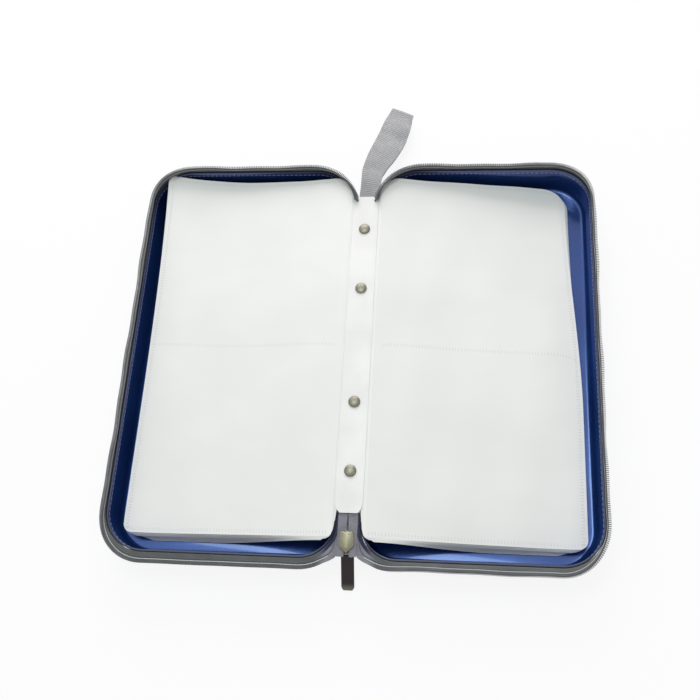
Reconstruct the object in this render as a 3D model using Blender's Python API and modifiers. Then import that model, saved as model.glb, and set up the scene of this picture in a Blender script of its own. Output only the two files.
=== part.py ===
"""A zip-round disc storage case, lying open like a book.

Two moulded trays are joined by a cloth spine.  A zip tape is sewn round the outside of each
rim and its coil stands past the rim.  A stack of double-wide disc sleeves is riveted to the
spine under a narrow strip, and hangs over the spine-side walls into both trays.  The slider
holds the two coils at the near end of the spine, and a carry loop leaves the far end.
X runs across the case, Y along the spine and Z up from the table.
"""

from math import asin, cos, hypot, pi, radians, sin, sqrt

import bmesh
import bpy
from mathutils import Vector

# disc sleeves, and the room that they have in the trays
DISC_POCKET = 0.1335
SLEEVE_WIDTH = 0.140
SLEEVE_ROOM_LONG = 0.019
SLEEVE_ROOM_WIDE = 0.013

# trays
RIM_LENGTH = 2 * DISC_POCKET + SLEEVE_ROOM_LONG
RIM_WIDTH = SLEEVE_WIDTH + SLEEVE_ROOM_WIDE
TRAY_DEPTH = 0.024
WALL = 0.0013
DRAFT = 0.002
SEWING_BAND = 0.009
FLOOR_RADIUS = 0.011
FLOOR_STEPS = 6
OUTER_RADIUS = 0.028
SPINE_RADIUS = 0.031
CORNER_STEPS = 9

# clearances
SEAT = 0.0003
RUNNING = 0.0003

# cloth spine
SPINE_GAP = 0.016
SPINE_CLOTH = 0.001
HEM_HEIGHT = 0.011

# zip
TAPE = 0.0008
TAPE_OVERLAP = 0.0075
TAPE_FREE = 0.0072
COIL_RADIUS = 0.0011
SIDE_LEAN = {"left": radians(-10), "right": radians(-5)}
FAR_LEAN = radians(-15)
NEAR_LEAN = {"left": radians(78), "right": radians(52)}
NOTCH_LEAN = radians(90)
START_WIDTH = 0.0114
START_SLOT = 0.0015
START_SPREAD = 0.0017
END_STOP = 0.0022

# slider and pull tab
SLIDER_LENGTH = 0.0135
SLIDER_WIDTH = 0.0102
SLIDER_FROM_SPINE = 0.014
SLIDER_PLATE = 0.0012
SLIDER_RIDGE = 0.0007
FLANGE = 0.0008
DIVIDER_LENGTH = 0.005
DIVIDER_WIDTH = 0.0018
BRIDGE_WIDTH = 0.002
BRIDGE_BAR = 0.0012
BRIDGE_LENGTH = 0.0085
TAB_LENGTH = 0.0315
TAB_WIDTH = 0.0084
TAB_THICKNESS = 0.0014
TAB_PIN = 0.0008
TAB_WINDOW = 0.0072
TAB_CREST = 0.0004

# shape of the sleeves, binding strip and rivets
SLEEVE_SHIFT = 0.0025
SLEEVE_AT_FOLD = 0.002
SLEEVE_GROOVE = 0.0005
SLEEVE_LAYERS = 5
SLEEVE_BASE_INSET = 0.0065
SLEEVE_NOTCH_MARGIN = 0.0037
SLEEVE_TOP_CORNER = {"left": 0.006, "right": 0.017}
SLEEVE_LOW_CORNER = 0.014
OUTER_HEIGHT = {"left": 0.0135, "right": 0.0095}
CORNER_CURL = {"left": 0.0075, "right": -0.0012}
BINDING_THICKNESS = 0.0016
STRIP_WIDTH = 0.0185
STRIP_THICKNESS = 0.0008
RIVET_CAP = 0.004
RIVET_HEIGHT = 0.0015
RIVET_POST = 0.0012
RIVET_BACK = 0.0035
RIVET_BACK_HEIGHT = 0.001
RIVET_FROM_END = 0.0227
RIVET_PAIR = 0.0473

# carry loop
LOOP_WIDTH = 0.019
LOOP_BASE_WIDTH = 0.0108
LOOP_THICKNESS = 0.0011
LOOP_LENGTH = 0.091
LOOP_TUCK = 0.012
LOOP_DIP = 0.0026
LOOP_LEAN = 0.0235
LOOP_DROOP = 0.0098
LOOP_TURN = 0.0016

HINGE_X = SPINE_GAP / 2
RIM_Z = TRAY_DEPTH
HALF_LENGTH = RIM_LENGTH / 2
OUTER_X = HINGE_X + RIM_WIDTH
CORNER_Y = HALF_LENGTH - SPINE_RADIUS
CORNER_X = HINGE_X + SPINE_RADIUS
SLEEVE_HALF = DISC_POCKET
TAPE_OFFSET = SEAT + TAPE / 2


def clear_scene():
    for item in list(bpy.data.objects):
        bpy.data.objects.remove(item, do_unlink=True)


def collection(name):
    group = bpy.data.collections.new(name)
    bpy.context.scene.collection.children.link(group)
    return group


def material(name, colour, roughness, metallic=0.0):
    made = bpy.data.materials.new(name)
    made.use_nodes = True
    shader = made.node_tree.nodes["Principled BSDF"]
    shader.inputs["Base Color"].default_value = (*colour, 1.0)
    shader.inputs["Roughness"].default_value = roughness
    shader.inputs["Metallic"].default_value = metallic
    return made


def smooth(t):
    t = min(1.0, max(0.0, t))
    return t * t * (3 - 2 * t)


def mix(a, b, t):
    return a + (b - a) * t


def finish(bm, name, group, mat, parent, origin=(0, 0, 0), sharp=35):
    """Turn a bmesh drawn in the case's frame into a named object with its own origin."""
    bmesh.ops.translate(bm, verts=bm.verts, vec=-Vector(origin))
    bmesh.ops.recalc_face_normals(bm, faces=bm.faces)
    mesh = bpy.data.meshes.new(name)
    bm.to_mesh(mesh)
    bm.free()
    mesh.materials.append(mat)
    mesh.shade_smooth()
    mesh.set_sharp_from_angle(angle=radians(sharp))
    item = bpy.data.objects.new(name, mesh)
    group.objects.link(item)
    item.parent = parent
    item.location = Vector(origin) - parent_place(parent)
    return item


def parent_place(parent):
    place = Vector((0, 0, 0))
    while parent is not None:
        place += parent.location
        parent = parent.parent
    return place


def empty(name, group, parent, place):
    made = bpy.data.objects.new(name, None)
    made.empty_display_size = 0.01
    group.objects.link(made)
    made.parent = parent
    made.location = Vector(place) - parent_place(parent)
    return made


def arc(centre_x, centre_y, radius, start, end, steps):
    return [
        (
            centre_x + radius * cos(mix(start, end, i / steps)),
            centre_y + radius * sin(mix(start, end, i / steps)),
        )
        for i in range(steps + 1)
    ]


def rim_outline(inset):
    """The right tray's outline, anticlockwise from the spine side's near corner."""
    spine = SPINE_RADIUS - inset
    outer = OUTER_RADIUS - inset
    outer_x = OUTER_X - OUTER_RADIUS
    outer_y = HALF_LENGTH - OUTER_RADIUS
    return (
        arc(CORNER_X, -CORNER_Y, spine, pi, 1.5 * pi, CORNER_STEPS)
        + arc(outer_x, -outer_y, outer, 1.5 * pi, 2 * pi, CORNER_STEPS)
        + arc(outer_x, outer_y, outer, 0, 0.5 * pi, CORNER_STEPS)
        + arc(CORNER_X, CORNER_Y, spine, 0.5 * pi, pi, CORNER_STEPS)
    )


def prism(outline, low, high):
    """An upright solid between two heights over a flat outline."""
    bm = bmesh.new()
    base = bm.faces.new([bm.verts.new((x, y, low)) for x, y in outline])
    raised = bmesh.ops.extrude_face_region(bm, geom=[base])
    verts = [item for item in raised["geom"] if isinstance(item, bmesh.types.BMVert)]
    bmesh.ops.translate(bm, verts=verts, vec=(0, 0, high - low))
    return bm


def mirror_x(bm):
    bmesh.ops.scale(bm, verts=bm.verts, vec=(-1, 1, 1))


def cylinder(centre, radius, low, high, segments=20):
    return prism(arc(centre[0], centre[1], radius, 0, 2 * pi, segments)[:-1], low, high)


def cut(item, bm, name, cutters, operation="DIFFERENCE"):
    """Add an exact Boolean modifier whose operand is drawn in the case's frame."""
    bmesh.ops.recalc_face_normals(bm, faces=bm.faces)
    mesh = bpy.data.meshes.new(name)
    bm.to_mesh(mesh)
    bm.free()
    cutter = bpy.data.objects.new(name, mesh)
    cutters.objects.link(cutter)
    cutter.hide_render = True
    cutter.display_type = "WIRE"
    root = item
    while root.parent is not None:
        root = root.parent
    cutter.parent = root
    cutter.location = -root.location
    modifier = item.modifiers.new(name, "BOOLEAN")
    modifier.operation = operation
    modifier.solver = "EXACT"
    modifier.object = cutter


# moulded trays

def make_tray(side, group, mat, parent):
    bm = bmesh.new()
    section = []
    for k in range(FLOOR_STEPS + 1):
        turn = 0.5 * pi * k / FLOOR_STEPS
        section.append((DRAFT + FLOOR_RADIUS * (1 - sin(turn)), FLOOR_RADIUS * (1 - cos(turn))))
    section += [(0, TRAY_DEPTH - SEWING_BAND), (0, TRAY_DEPTH)]
    rings = []
    for inset, height in section:
        rings.append([bm.verts.new((x, y, height)) for x, y in rim_outline(inset)])
    bm.faces.new(reversed(rings[0]))
    count = len(rings[0])
    for lower, upper in zip(rings, rings[1:]):
        for i in range(count):
            j = (i + 1) % count
            bm.faces.new((lower[i], lower[j], upper[j], upper[i]))
    if side == "left":
        mirror_x(bm)
    bmesh.ops.recalc_face_normals(bm, faces=bm.faces)
    floor = max(bm.faces, key=lambda f: f.calc_area())
    if floor.normal.z > 0:
        bmesh.ops.reverse_faces(bm, faces=bm.faces)
    mesh = bpy.data.meshes.new(f"{side}_shell")
    bm.to_mesh(mesh)
    bm.free()
    mesh.materials.append(mat)
    mesh.shade_smooth()
    mesh.set_sharp_from_angle(angle=radians(50))
    item = bpy.data.objects.new(f"{side}_shell", mesh)
    group.objects.link(item)
    item.parent = parent
    item.location = -parent_place(parent)
    wall = item.modifiers.new("wall", "SOLIDIFY")
    wall.thickness = WALL
    wall.offset = -1
    wall.use_even_offset = True
    wall.use_quality_normals = True
    return item


# zip tape and coil round a rim

def rim_stations(side):
    """Places along the right rim with the outward direction and the tape's lean."""
    near = NEAR_LEAN[side]
    beside = SIDE_LEAN[side]
    outer_x = OUTER_X - OUTER_RADIUS
    outer_y = HALF_LENGTH - OUTER_RADIUS
    stations = []

    def corner(cx, cy, radius, start, end, lean_from, lean_to, steps):
        for i in range(steps + 1):
            turn = mix(start, end, i / steps)
            out = Vector((cos(turn), sin(turn), 0))
            place = Vector((cx, cy, 0)) + out * radius
            stations.append((place, out, mix(lean_from, lean_to, smooth(i / steps))))

    def run(start, end, out, lean, steps):
        for i in range(1, steps):
            place = Vector(start).lerp(Vector(end), i / steps)
            stations.append((place, Vector(out), lean))

    flat = asin(min(1, (start_end() - CORNER_Y) / (SPINE_RADIUS + TAPE_FREE)))
    corner(CORNER_X, -CORNER_Y, SPINE_RADIUS, pi, pi + flat, NOTCH_LEAN, NOTCH_LEAN, 9)
    stations.pop()
    corner(CORNER_X, -CORNER_Y, SPINE_RADIUS, pi + flat, 1.5 * pi, NOTCH_LEAN, near, 7)
    run((CORNER_X, -HALF_LENGTH, 0), (outer_x, -HALF_LENGTH, 0), (0, -1, 0), near, 6)
    corner(outer_x, -outer_y, OUTER_RADIUS, 1.5 * pi, 2 * pi, near, beside, 12)
    run((OUTER_X, -outer_y, 0), (OUTER_X, outer_y, 0), (1, 0, 0), beside, 10)
    corner(outer_x, outer_y, OUTER_RADIUS, 0, 0.5 * pi, beside, FAR_LEAN, 12)
    run((outer_x, HALF_LENGTH, 0), (CORNER_X, HALF_LENGTH, 0), (0, 1, 0), FAR_LEAN, 6)
    past_strip = SLEEVE_SHIFT + binding_half() + SEAT - CORNER_Y
    last = pi - asin(past_strip / SPINE_RADIUS)
    corner(CORNER_X, CORNER_Y, SPINE_RADIUS, 0.5 * pi, last, FAR_LEAN, FAR_LEAN, 12)
    return stations


def slider_near_end():
    return CORNER_Y + SLIDER_FROM_SPINE + SLIDER_LENGTH


def tape_section(place, out, lean):
    """Foot, rim and free edge of the tape at one station."""
    up = Vector((0, 0, 1))
    wall = place + out * TAPE_OFFSET
    foot = wall + up * (RIM_Z - TAPE_OVERLAP)
    bend = wall + up * (RIM_Z + TAPE / 2)
    edge = bend + (out * sin(lean) + up * cos(lean)) * TAPE_FREE
    if edge.y < SEAT - CORNER_Y and edge.x < CORNER_X:
        inner = START_WIDTH / 2 + RUNNING
        pull = 1 - smooth((-edge.y - slider_near_end()) / TAPE_FREE)
        edge.x = max(inner, mix(edge.x, min(edge.x, inner), pull))
    return foot, bend, edge


def make_tape(side, group, mat, parent):
    bm = bmesh.new()
    rows = []
    for place, out, lean in rim_stations(side):
        foot, bend, edge = tape_section(place, out, lean)
        rows.append([bm.verts.new(p) for p in (foot, bend, bend.lerp(edge, 0.5), edge)])
    for row, following in zip(rows, rows[1:]):
        for i in range(3):
            bm.faces.new((row[i], following[i], following[i + 1], row[i + 1]))
    if side == "left":
        mirror_x(bm)
    item = finish(bm, f"{side}_zip_tape", group, mat, parent)
    weave = item.modifiers.new("cloth", "SOLIDIFY")
    weave.thickness = TAPE
    weave.offset = 0
    weave.use_even_offset = True
    return item


def tube(name, points, radius, group, mat, parent, resolution=1):
    curve = bpy.data.curves.new(name, "CURVE")
    curve.dimensions = "3D"
    curve.bevel_depth = radius
    curve.bevel_resolution = resolution
    curve.use_fill_caps = True
    spline = curve.splines.new("POLY")
    spline.points.add(len(points) - 1)
    for point, place in zip(spline.points, points):
        point.co = (*place, 1)
    curve.materials.append(mat)
    item = bpy.data.objects.new(name, curve)
    group.objects.link(item)
    item.parent = parent
    item.location = -parent_place(parent)
    return item


def make_coil(side, group, mat, parent):
    points = []
    for place, out, lean in rim_stations(side):
        foot, bend, edge = tape_section(place, out, lean)
        beside_start = SEAT - CORNER_Y > edge.y > -start_end() - COIL_RADIUS
        if beside_start and edge.x < CORNER_X:
            continue
        along = (edge - bend).normalized()
        tape_back = out * cos(lean) - Vector((0, 0, 1)) * sin(lean)
        centre = edge - along * COIL_RADIUS + tape_back * (TAPE / 2 + SEAT + COIL_RADIUS)
        points.append(centre)
    if side == "left":
        points = [Vector((-p.x, p.y, p.z)) for p in points]
    return tube(f"{side}_zip_coil", points, COIL_RADIUS, group, mat, parent)


# start of the zip, held by the slider

def start_end():
    return slider_near_end() + 2 * COIL_RADIUS


def start_inner(distance):
    """Half of the gap between the two tapes at a distance past the spine's end."""
    t = (distance - SLIDER_FROM_SPINE * 0.5) / (slider_near_end() - CORNER_Y)
    return mix(START_SLOT / 2, START_SPREAD, smooth(t))


def make_start_tape(group, mat, parent):
    first = CORNER_Y + SEAT
    last = start_end()
    half = START_WIDTH / 2
    inner = []
    for i in range(9):
        y = mix(first + END_STOP, last, i / 8)
        inner.append((start_inner(y - CORNER_Y), -y))
    outline = [(-half, -first), (-half, -last)]
    outline += [(-x, y) for x, y in reversed(inner)]
    outline += inner
    outline += [(half, -last), (half, -first)]
    bm = prism(outline, RIM_Z, RIM_Z + TAPE)
    return finish(bm, "zip_start_tape", group, mat, parent)


def coil_height():
    return RIM_Z - SEAT - COIL_RADIUS


def make_start_coils(group, mat, parent):
    for side, sign in (("left", -1), ("right", 1)):
        points = []
        first = CORNER_Y + END_STOP + 2 * SEAT
        for i in range(13):
            y = mix(first, start_end(), i / 12)
            x = start_inner(y - CORNER_Y) + COIL_RADIUS
            points.append(Vector((sign * x, -y, coil_height())))
        tube(f"zip_start_coil_{side}", points, COIL_RADIUS, group, mat, parent)


def make_end_stop(group, mat, parent):
    half = START_SLOT / 2 + 2 * COIL_RADIUS
    first = CORNER_Y + SEAT
    outline = [(-half, -first - END_STOP), (half, -first - END_STOP), (half, -first), (-half, -first)]
    bm = prism(outline, RIM_Z - SEAT - 2 * COIL_RADIUS, RIM_Z - SEAT)
    bmesh.ops.bevel(
        bm, geom=list(bm.edges), offset=SEAT, segments=1, profile=0.5, affect="EDGES",
    )
    return finish(bm, "zip_end_stop", group, mat, parent)


# slider and pull tab

def slider_levels():
    """Underside of the top plate, top of the flanges and top of the lower plate."""
    top = RIM_Z + TAPE + RUNNING
    flange = RIM_Z - RUNNING
    lower = RIM_Z - SEAT - 2 * COIL_RADIUS - RUNNING
    return top, flange, lower


def make_slider(group, cutters, mat, parent, centre_y):
    top, flange, lower = slider_levels()
    half = SLIDER_LENGTH / 2
    wide = SLIDER_WIDTH / 2
    narrow = START_SLOT / 2 + 2 * COIL_RADIUS + RUNNING + FLANGE
    shield = [
        (-narrow, half), (-wide, -0.1 * half), (-0.86 * wide, -0.45 * half), (0, -half),
        (0.86 * wide, -0.45 * half), (wide, -0.1 * half), (narrow, half),
    ]
    bm = bmesh.new()
    under = [bm.verts.new((x, centre_y + y, top)) for x, y in shield]
    edge = [bm.verts.new((x, centre_y + y, top + SLIDER_PLATE * 0.6)) for x, y in shield]
    high = top + SLIDER_PLATE + SLIDER_RIDGE
    ridge_far = bm.verts.new((0, centre_y + half * 0.72, high))
    ridge_near = bm.verts.new((0, centre_y - half * 0.62, high))
    bm.faces.new(under)
    for i in range(len(shield)):
        j = (i + 1) % len(shield)
        bm.faces.new((under[i], under[j], edge[j], edge[i]))
    bm.faces.new((edge[0], edge[1], ridge_far))
    bm.faces.new((edge[1], ridge_near, ridge_far))
    bm.faces.new((edge[1], edge[2], ridge_near))
    bm.faces.new((edge[2], edge[3], ridge_near))
    bm.faces.new((edge[3], edge[4], ridge_near))
    bm.faces.new((edge[4], edge[5], ridge_near))
    bm.faces.new((edge[5], ridge_far, ridge_near))
    bm.faces.new((edge[5], edge[6], ridge_far))
    bm.faces.new((edge[6], edge[0], ridge_far))
    item = finish(bm, "slider_body", group, mat, parent, (0, centre_y, RIM_Z), sharp=12)

    floor_line = [
        (-narrow, half), (-wide, -0.2 * half), (-wide, -0.7 * half), (-0.72 * wide, -half),
        (0.72 * wide, -half), (wide, -0.7 * half), (wide, -0.2 * half), (narrow, half),
    ]
    floor_line = [(x, centre_y + y) for x, y in floor_line]
    cut(item, prism(floor_line, lower - SLIDER_PLATE, lower), "slider_floor", cutters, "UNION")
    for sign in (-1, 1):
        rail = [
            (narrow, half), (wide, -0.2 * half), (wide, -0.7 * half),
            (wide - FLANGE, -0.7 * half), (wide - FLANGE, -0.2 * half), (narrow - FLANGE, half),
        ]
        rail = [(sign * x, centre_y + y) for x, y in rail]
        cut(item, prism(rail, lower - SLIDER_PLATE / 2, flange), f"flange_{sign + 1}", cutters,
            "UNION")
    tip = DIVIDER_WIDTH * 0.22
    wedge = [
        (-tip, -half + DIVIDER_LENGTH), (-DIVIDER_WIDTH / 2, -half + DIVIDER_LENGTH * 0.3),
        (0, -half * 0.93), (DIVIDER_WIDTH / 2, -half + DIVIDER_LENGTH * 0.3),
        (tip, -half + DIVIDER_LENGTH),
    ]
    wedge = [(x, centre_y + y) for x, y in wedge]
    cut(item, prism(wedge, lower - SLIDER_PLATE / 2, top + SLIDER_PLATE * 0.3), "divider", cutters,
        "UNION")

    pin_z = pivot_height()
    arch = [
        (BRIDGE_LENGTH / 2, lower - SLIDER_PLATE / 2),
        (BRIDGE_LENGTH / 2 - BRIDGE_BAR * 0.6, pin_z - TAB_PIN - RUNNING - BRIDGE_BAR),
        (-BRIDGE_LENGTH / 2 + BRIDGE_BAR * 0.6, pin_z - TAB_PIN - RUNNING - BRIDGE_BAR),
        (-BRIDGE_LENGTH / 2, lower - SLIDER_PLATE / 2),
        (-BRIDGE_LENGTH / 2 + BRIDGE_BAR, lower - SLIDER_PLATE / 2),
        (-BRIDGE_LENGTH / 2 + BRIDGE_BAR * 1.4, pin_z - TAB_PIN - RUNNING),
        (BRIDGE_LENGTH / 2 - BRIDGE_BAR * 1.4, pin_z - TAB_PIN - RUNNING),
        (BRIDGE_LENGTH / 2 - BRIDGE_BAR, lower - SLIDER_PLATE / 2),
    ]
    bridge = bmesh.new()
    face = bridge.faces.new(
        [bridge.verts.new((-BRIDGE_WIDTH / 2, centre_y + y, z)) for y, z in arch]
    )
    raised = bmesh.ops.extrude_face_region(bridge, geom=[face])
    verts = [v for v in raised["geom"] if isinstance(v, bmesh.types.BMVert)]
    bmesh.ops.translate(bridge, verts=verts, vec=(BRIDGE_WIDTH, 0, 0))
    cut(item, bridge, "bridge", cutters, "UNION")
    return item


def pivot_height():
    return slider_levels()[2] - SLIDER_PLATE - RUNNING - TAB_PIN


def make_tab(group, cutters, mat, parent, pivot):
    """The pull tab, drawn flat towards -Y and then dropped until its tip clears the table."""
    half = TAB_WIDTH / 2
    reach = TAB_LENGTH
    outline = [
        (-half, TAB_PIN), (-half, -reach * 0.93), (-half * 0.72, -reach), (half * 0.72, -reach),
        (half, -reach * 0.93), (half, TAB_PIN),
    ]
    bm = prism(outline, -TAB_THICKNESS / 2, TAB_THICKNESS / 2)
    window = [
        (-BRIDGE_WIDTH * 1.2, -TAB_PIN), (-BRIDGE_WIDTH * 1.2, -TAB_WINDOW),
        (BRIDGE_WIDTH * 1.2, -TAB_WINDOW), (BRIDGE_WIDTH * 1.2, -TAB_PIN),
    ]
    item = finish(bm, "pull_tab", group, mat, parent, sharp=25)
    item.location = Vector(pivot) - parent_place(parent)
    drop = asin((pivot[2] - TAB_THICKNESS) / reach)
    item.rotation_euler = (drop, 0, 0)
    hole = prism(window, -TAB_THICKNESS, TAB_THICKNESS)
    bmesh.ops.recalc_face_normals(hole, faces=hole.faces)
    mesh = bpy.data.meshes.new("tab_window")
    hole.to_mesh(mesh)
    hole.free()
    cutter = bpy.data.objects.new("tab_window", mesh)
    cutters.objects.link(cutter)
    cutter.hide_render = True
    cutter.display_type = "WIRE"
    cutter.parent = item
    opening = item.modifiers.new("window", "BOOLEAN")
    opening.operation = "DIFFERENCE"
    opening.solver = "EXACT"
    opening.object = cutter
    edges = item.modifiers.new("edges", "BEVEL")
    edges.width = TAB_CREST
    edges.segments = 1
    edges.limit_method = "ANGLE"
    edges.angle_limit = radians(50)
    return item


# cloth spine and its hems

def spine_layers():
    """Undersides of the strip, the sleeves' middle and the cloth.

    A folding wall swings its own thickness over the rim, so the strip lies above that.
    """
    strip = RIM_Z + WALL + SEAT
    binding = strip - SEAT - BINDING_THICKNESS
    cloth = binding - SEAT - SPINE_CLOTH
    return strip, binding, cloth


def make_spine_cloth(group, mat, parent):
    half = HINGE_X - SEAT
    length = CORNER_Y - SEAT
    outline = [(-half, -length), (half, -length), (half, length), (-half, length)]
    low = spine_layers()[2]
    return finish(prism(outline, low, low + SPINE_CLOTH), "spine_cloth", group, mat, parent)


def make_hem(side, group, mat, parent):
    outer = HINGE_X - SEAT
    inner = outer - SPINE_CLOTH
    length = CORNER_Y - SEAT
    outline = [(inner, -length), (outer, -length), (outer, length), (inner, length)]
    top = spine_layers()[2] - SEAT
    bm = prism(outline, top - HEM_HEIGHT, top)
    if side == "left":
        mirror_x(bm)
    return finish(bm, f"{side}_spine_hem", group, mat, parent)


# disc sleeves

def fold_x():
    """The sleeves start where they clear the strip's edge as they fold with the trays."""
    strip_top = spine_layers()[0] + STRIP_THICKNESS - RIM_Z
    return HINGE_X + hypot(STRIP_WIDTH / 2 - HINGE_X, strip_top) + SEAT


def sleeve_top(side, x, v):
    """Height of the top sleeve: over the rim at the fold, sagging towards the outer edge."""
    t = (x - fold_x()) / SLEEVE_WIDTH
    start = RIM_Z + SEAT + SLEEVE_AT_FOLD
    level = mix(OUTER_HEIGHT[side], start, (1 - t) ** 1.7)
    curl = CORNER_CURL[side] * max(0.0, t) ** 4 * ((1 + v) / 2) ** 4
    return level + curl


def sleeve_bottom(x):
    """The lowest sleeve leaves the rim and comes to lie on the tray's floor."""
    t = (x - fold_x()) / (SLEEVE_WIDTH * 0.6)
    return mix(RIM_Z + SEAT, WALL + SEAT, smooth(t))


def sleeve_half(x, corner=SLEEVE_LOW_CORNER):
    """Half length of a sleeve: cut back beside the spine, and rounded at the outer corner."""
    radius = SPINE_RADIUS - WALL - SLEEVE_NOTCH_MARGIN
    reach = min(radius, max(0.0, CORNER_X - x))
    notch = CORNER_Y + sqrt(max(0.0, radius * radius - reach * reach))
    past = min(corner, max(0.0, x - (fold_x() + SLEEVE_WIDTH - corner)))
    rounded = SLEEVE_HALF - corner + sqrt(max(0.0, corner * corner - past * past))
    return min(SLEEVE_HALF, notch, rounded)


def make_sleeves(side, group, mat, parent):
    first = fold_x()
    columns = [first, first + 0.0015, first + 0.003, first + 0.005, first + 0.007]
    columns += [first + 0.0095, first + 0.013]
    last = first + SLEEVE_WIDTH
    middle = last - SLEEVE_LOW_CORNER - columns[-1]
    columns += [columns[-1] + middle * i / 9 for i in range(1, 10)]
    columns += [last - SLEEVE_LOW_CORNER * (1 - sin(0.5 * pi * i / 7)) for i in range(1, 8)]
    rows = [mix(-1, 1, j / 7) for j in range(8)]
    levels = 2 * SLEEVE_LAYERS
    edge = [(i, 0) for i in range(len(columns))]
    edge += [(len(columns) - 1, j) for j in range(1, len(rows))]
    edge += [(i, len(rows) - 1) for i in range(len(columns) - 2, -1, -1)]
    edge += [(0, j) for j in range(len(rows) - 2, 0, -1)]

    bm = bmesh.new()

    def place(i, j, level):
        share = level / levels
        inset = SLEEVE_BASE_INSET * share ** 2
        if level % 2:
            inset += SLEEVE_GROOVE
        x = columns[i]
        v = rows[j]
        height = mix(sleeve_top(side, x, v), sleeve_bottom(x), share)
        corner = mix(SLEEVE_TOP_CORNER[side], SLEEVE_LOW_CORNER, share)
        reach = sleeve_half(x, corner) - inset * smooth((x - first) / SLEEVE_BASE_INSET)
        x = first + (x - first) * (1 - inset / SLEEVE_WIDTH)
        return (x, SLEEVE_SHIFT + v * reach, height)

    grid = {}
    for level in range(levels + 1):
        if level in (0, levels):
            spots = [(i, j) for i in range(len(columns)) for j in range(len(rows))]
        else:
            spots = edge
        for i, j in spots:
            grid[i, j, level] = bm.verts.new(place(i, j, level))
    for level in (0, levels):
        for i in range(len(columns) - 1):
            for j in range(len(rows) - 1):
                ring = ((i, j), (i + 1, j), (i + 1, j + 1), (i, j + 1))
                bm.faces.new([grid[a, b, level] for a, b in ring])
    for level in range(levels):
        for k, (a, b) in enumerate(edge):
            c, d = edge[(k + 1) % len(edge)]
            bm.faces.new((
                grid[a, b, level], grid[c, d, level],
                grid[c, d, level + 1], grid[a, b, level + 1],
            ))
    if side == "left":
        mirror_x(bm)
    return finish(bm, f"{side}_sleeves", group, mat, parent)


def binding_half():
    return sleeve_half(fold_x())


def slab(name, half, low, thickness, group, mat, parent):
    reach = binding_half()
    near = SLEEVE_SHIFT - reach
    far = SLEEVE_SHIFT + reach
    outline = [(-half, near), (half, near), (half, far), (-half, far)]
    return finish(prism(outline, low, low + thickness), name, group, mat, parent)


# rivets

def rivet_places():
    outer = binding_half() - RIVET_FROM_END
    inner = outer - RIVET_PAIR
    return [SLEEVE_SHIFT + y for y in (outer, inner, -inner, -outer)]


def turned(name, profile, group, mat, parent, place):
    """A turned piece from a half profile listed from top to bottom."""
    mesh = bpy.data.meshes.new(name)
    mesh.from_pydata([(r, 0, z) for r, z in profile], [(i, i + 1) for i in range(len(profile) - 1)], [])
    mesh.materials.append(mat)
    item = bpy.data.objects.new(name, mesh)
    group.objects.link(item)
    item.parent = parent
    item.location = Vector(place) - parent_place(parent)
    screw = item.modifiers.new("turn", "SCREW")
    screw.axis = "Z"
    screw.angle = 2 * pi
    screw.steps = 16
    screw.render_steps = 16
    screw.use_merge_vertices = True
    screw.merge_threshold = 0.00005
    screw.use_smooth_shade = True
    return item


def make_rivets(group, mat, parent):
    strip_low, _, cloth_low = spine_layers()
    seat = strip_low + STRIP_THICKNESS + SEAT
    back = cloth_low - SEAT
    post_end = back - RIVET_BACK_HEIGHT * 0.4
    for number, y in enumerate(rivet_places(), 1):
        dome = [(0, RIVET_HEIGHT)]
        dome += [
            (RIVET_CAP * sin(a), RIVET_HEIGHT * (0.25 + 0.75 * cos(a)))
            for a in (0.3, 0.6, 0.9, 1.2, pi / 2)
        ]
        dome += [(RIVET_CAP, 0), (RIVET_POST, 0), (RIVET_POST, post_end - seat), (0, post_end - seat)]
        turned(f"rivet_{number}", dome, group, mat, parent, (0, y, seat))
        hollow = RIVET_POST + SEAT
        depth = RIVET_BACK_HEIGHT
        pocket = back - post_end + SEAT
        cap = [
            (0, -pocket), (hollow, -pocket), (hollow, 0), (RIVET_BACK, 0),
            (RIVET_BACK, -depth * 0.4), (RIVET_BACK * 0.75, -depth * 0.85), (0, -depth),
        ]
        turned(f"rivet_back_{number}", cap, group, mat, parent, (0, y, back))


# carry loop

def loop_line(t):
    """Centre line of the folded strap from the spine's far end to its turn."""
    base = spine_layers()[2] - SEAT - LOOP_THICKNESS - SEAT / 2
    x = LOOP_LEAN * max(0.0, (t - 0.1) / 0.9) ** 1.4
    y = CORNER_Y - LOOP_TUCK + (LOOP_LENGTH + LOOP_TUCK) * t
    z = base - LOOP_DIP * smooth(t / 0.1) - LOOP_DROOP * smooth((t - 0.3) / 0.7)
    return Vector((x, y, z))


def loop_frame(t):
    step = 0.01
    along = (loop_line(min(1, t + step)) - loop_line(max(0, t - step))).normalized()
    across = along.cross(Vector((0, 0, 1))).normalized()
    lean = radians(-9) * smooth(t / 0.5)
    up = across.cross(along).normalized()
    across = across * cos(lean) + up * sin(lean)
    return along, across, across.cross(along).normalized()


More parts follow.
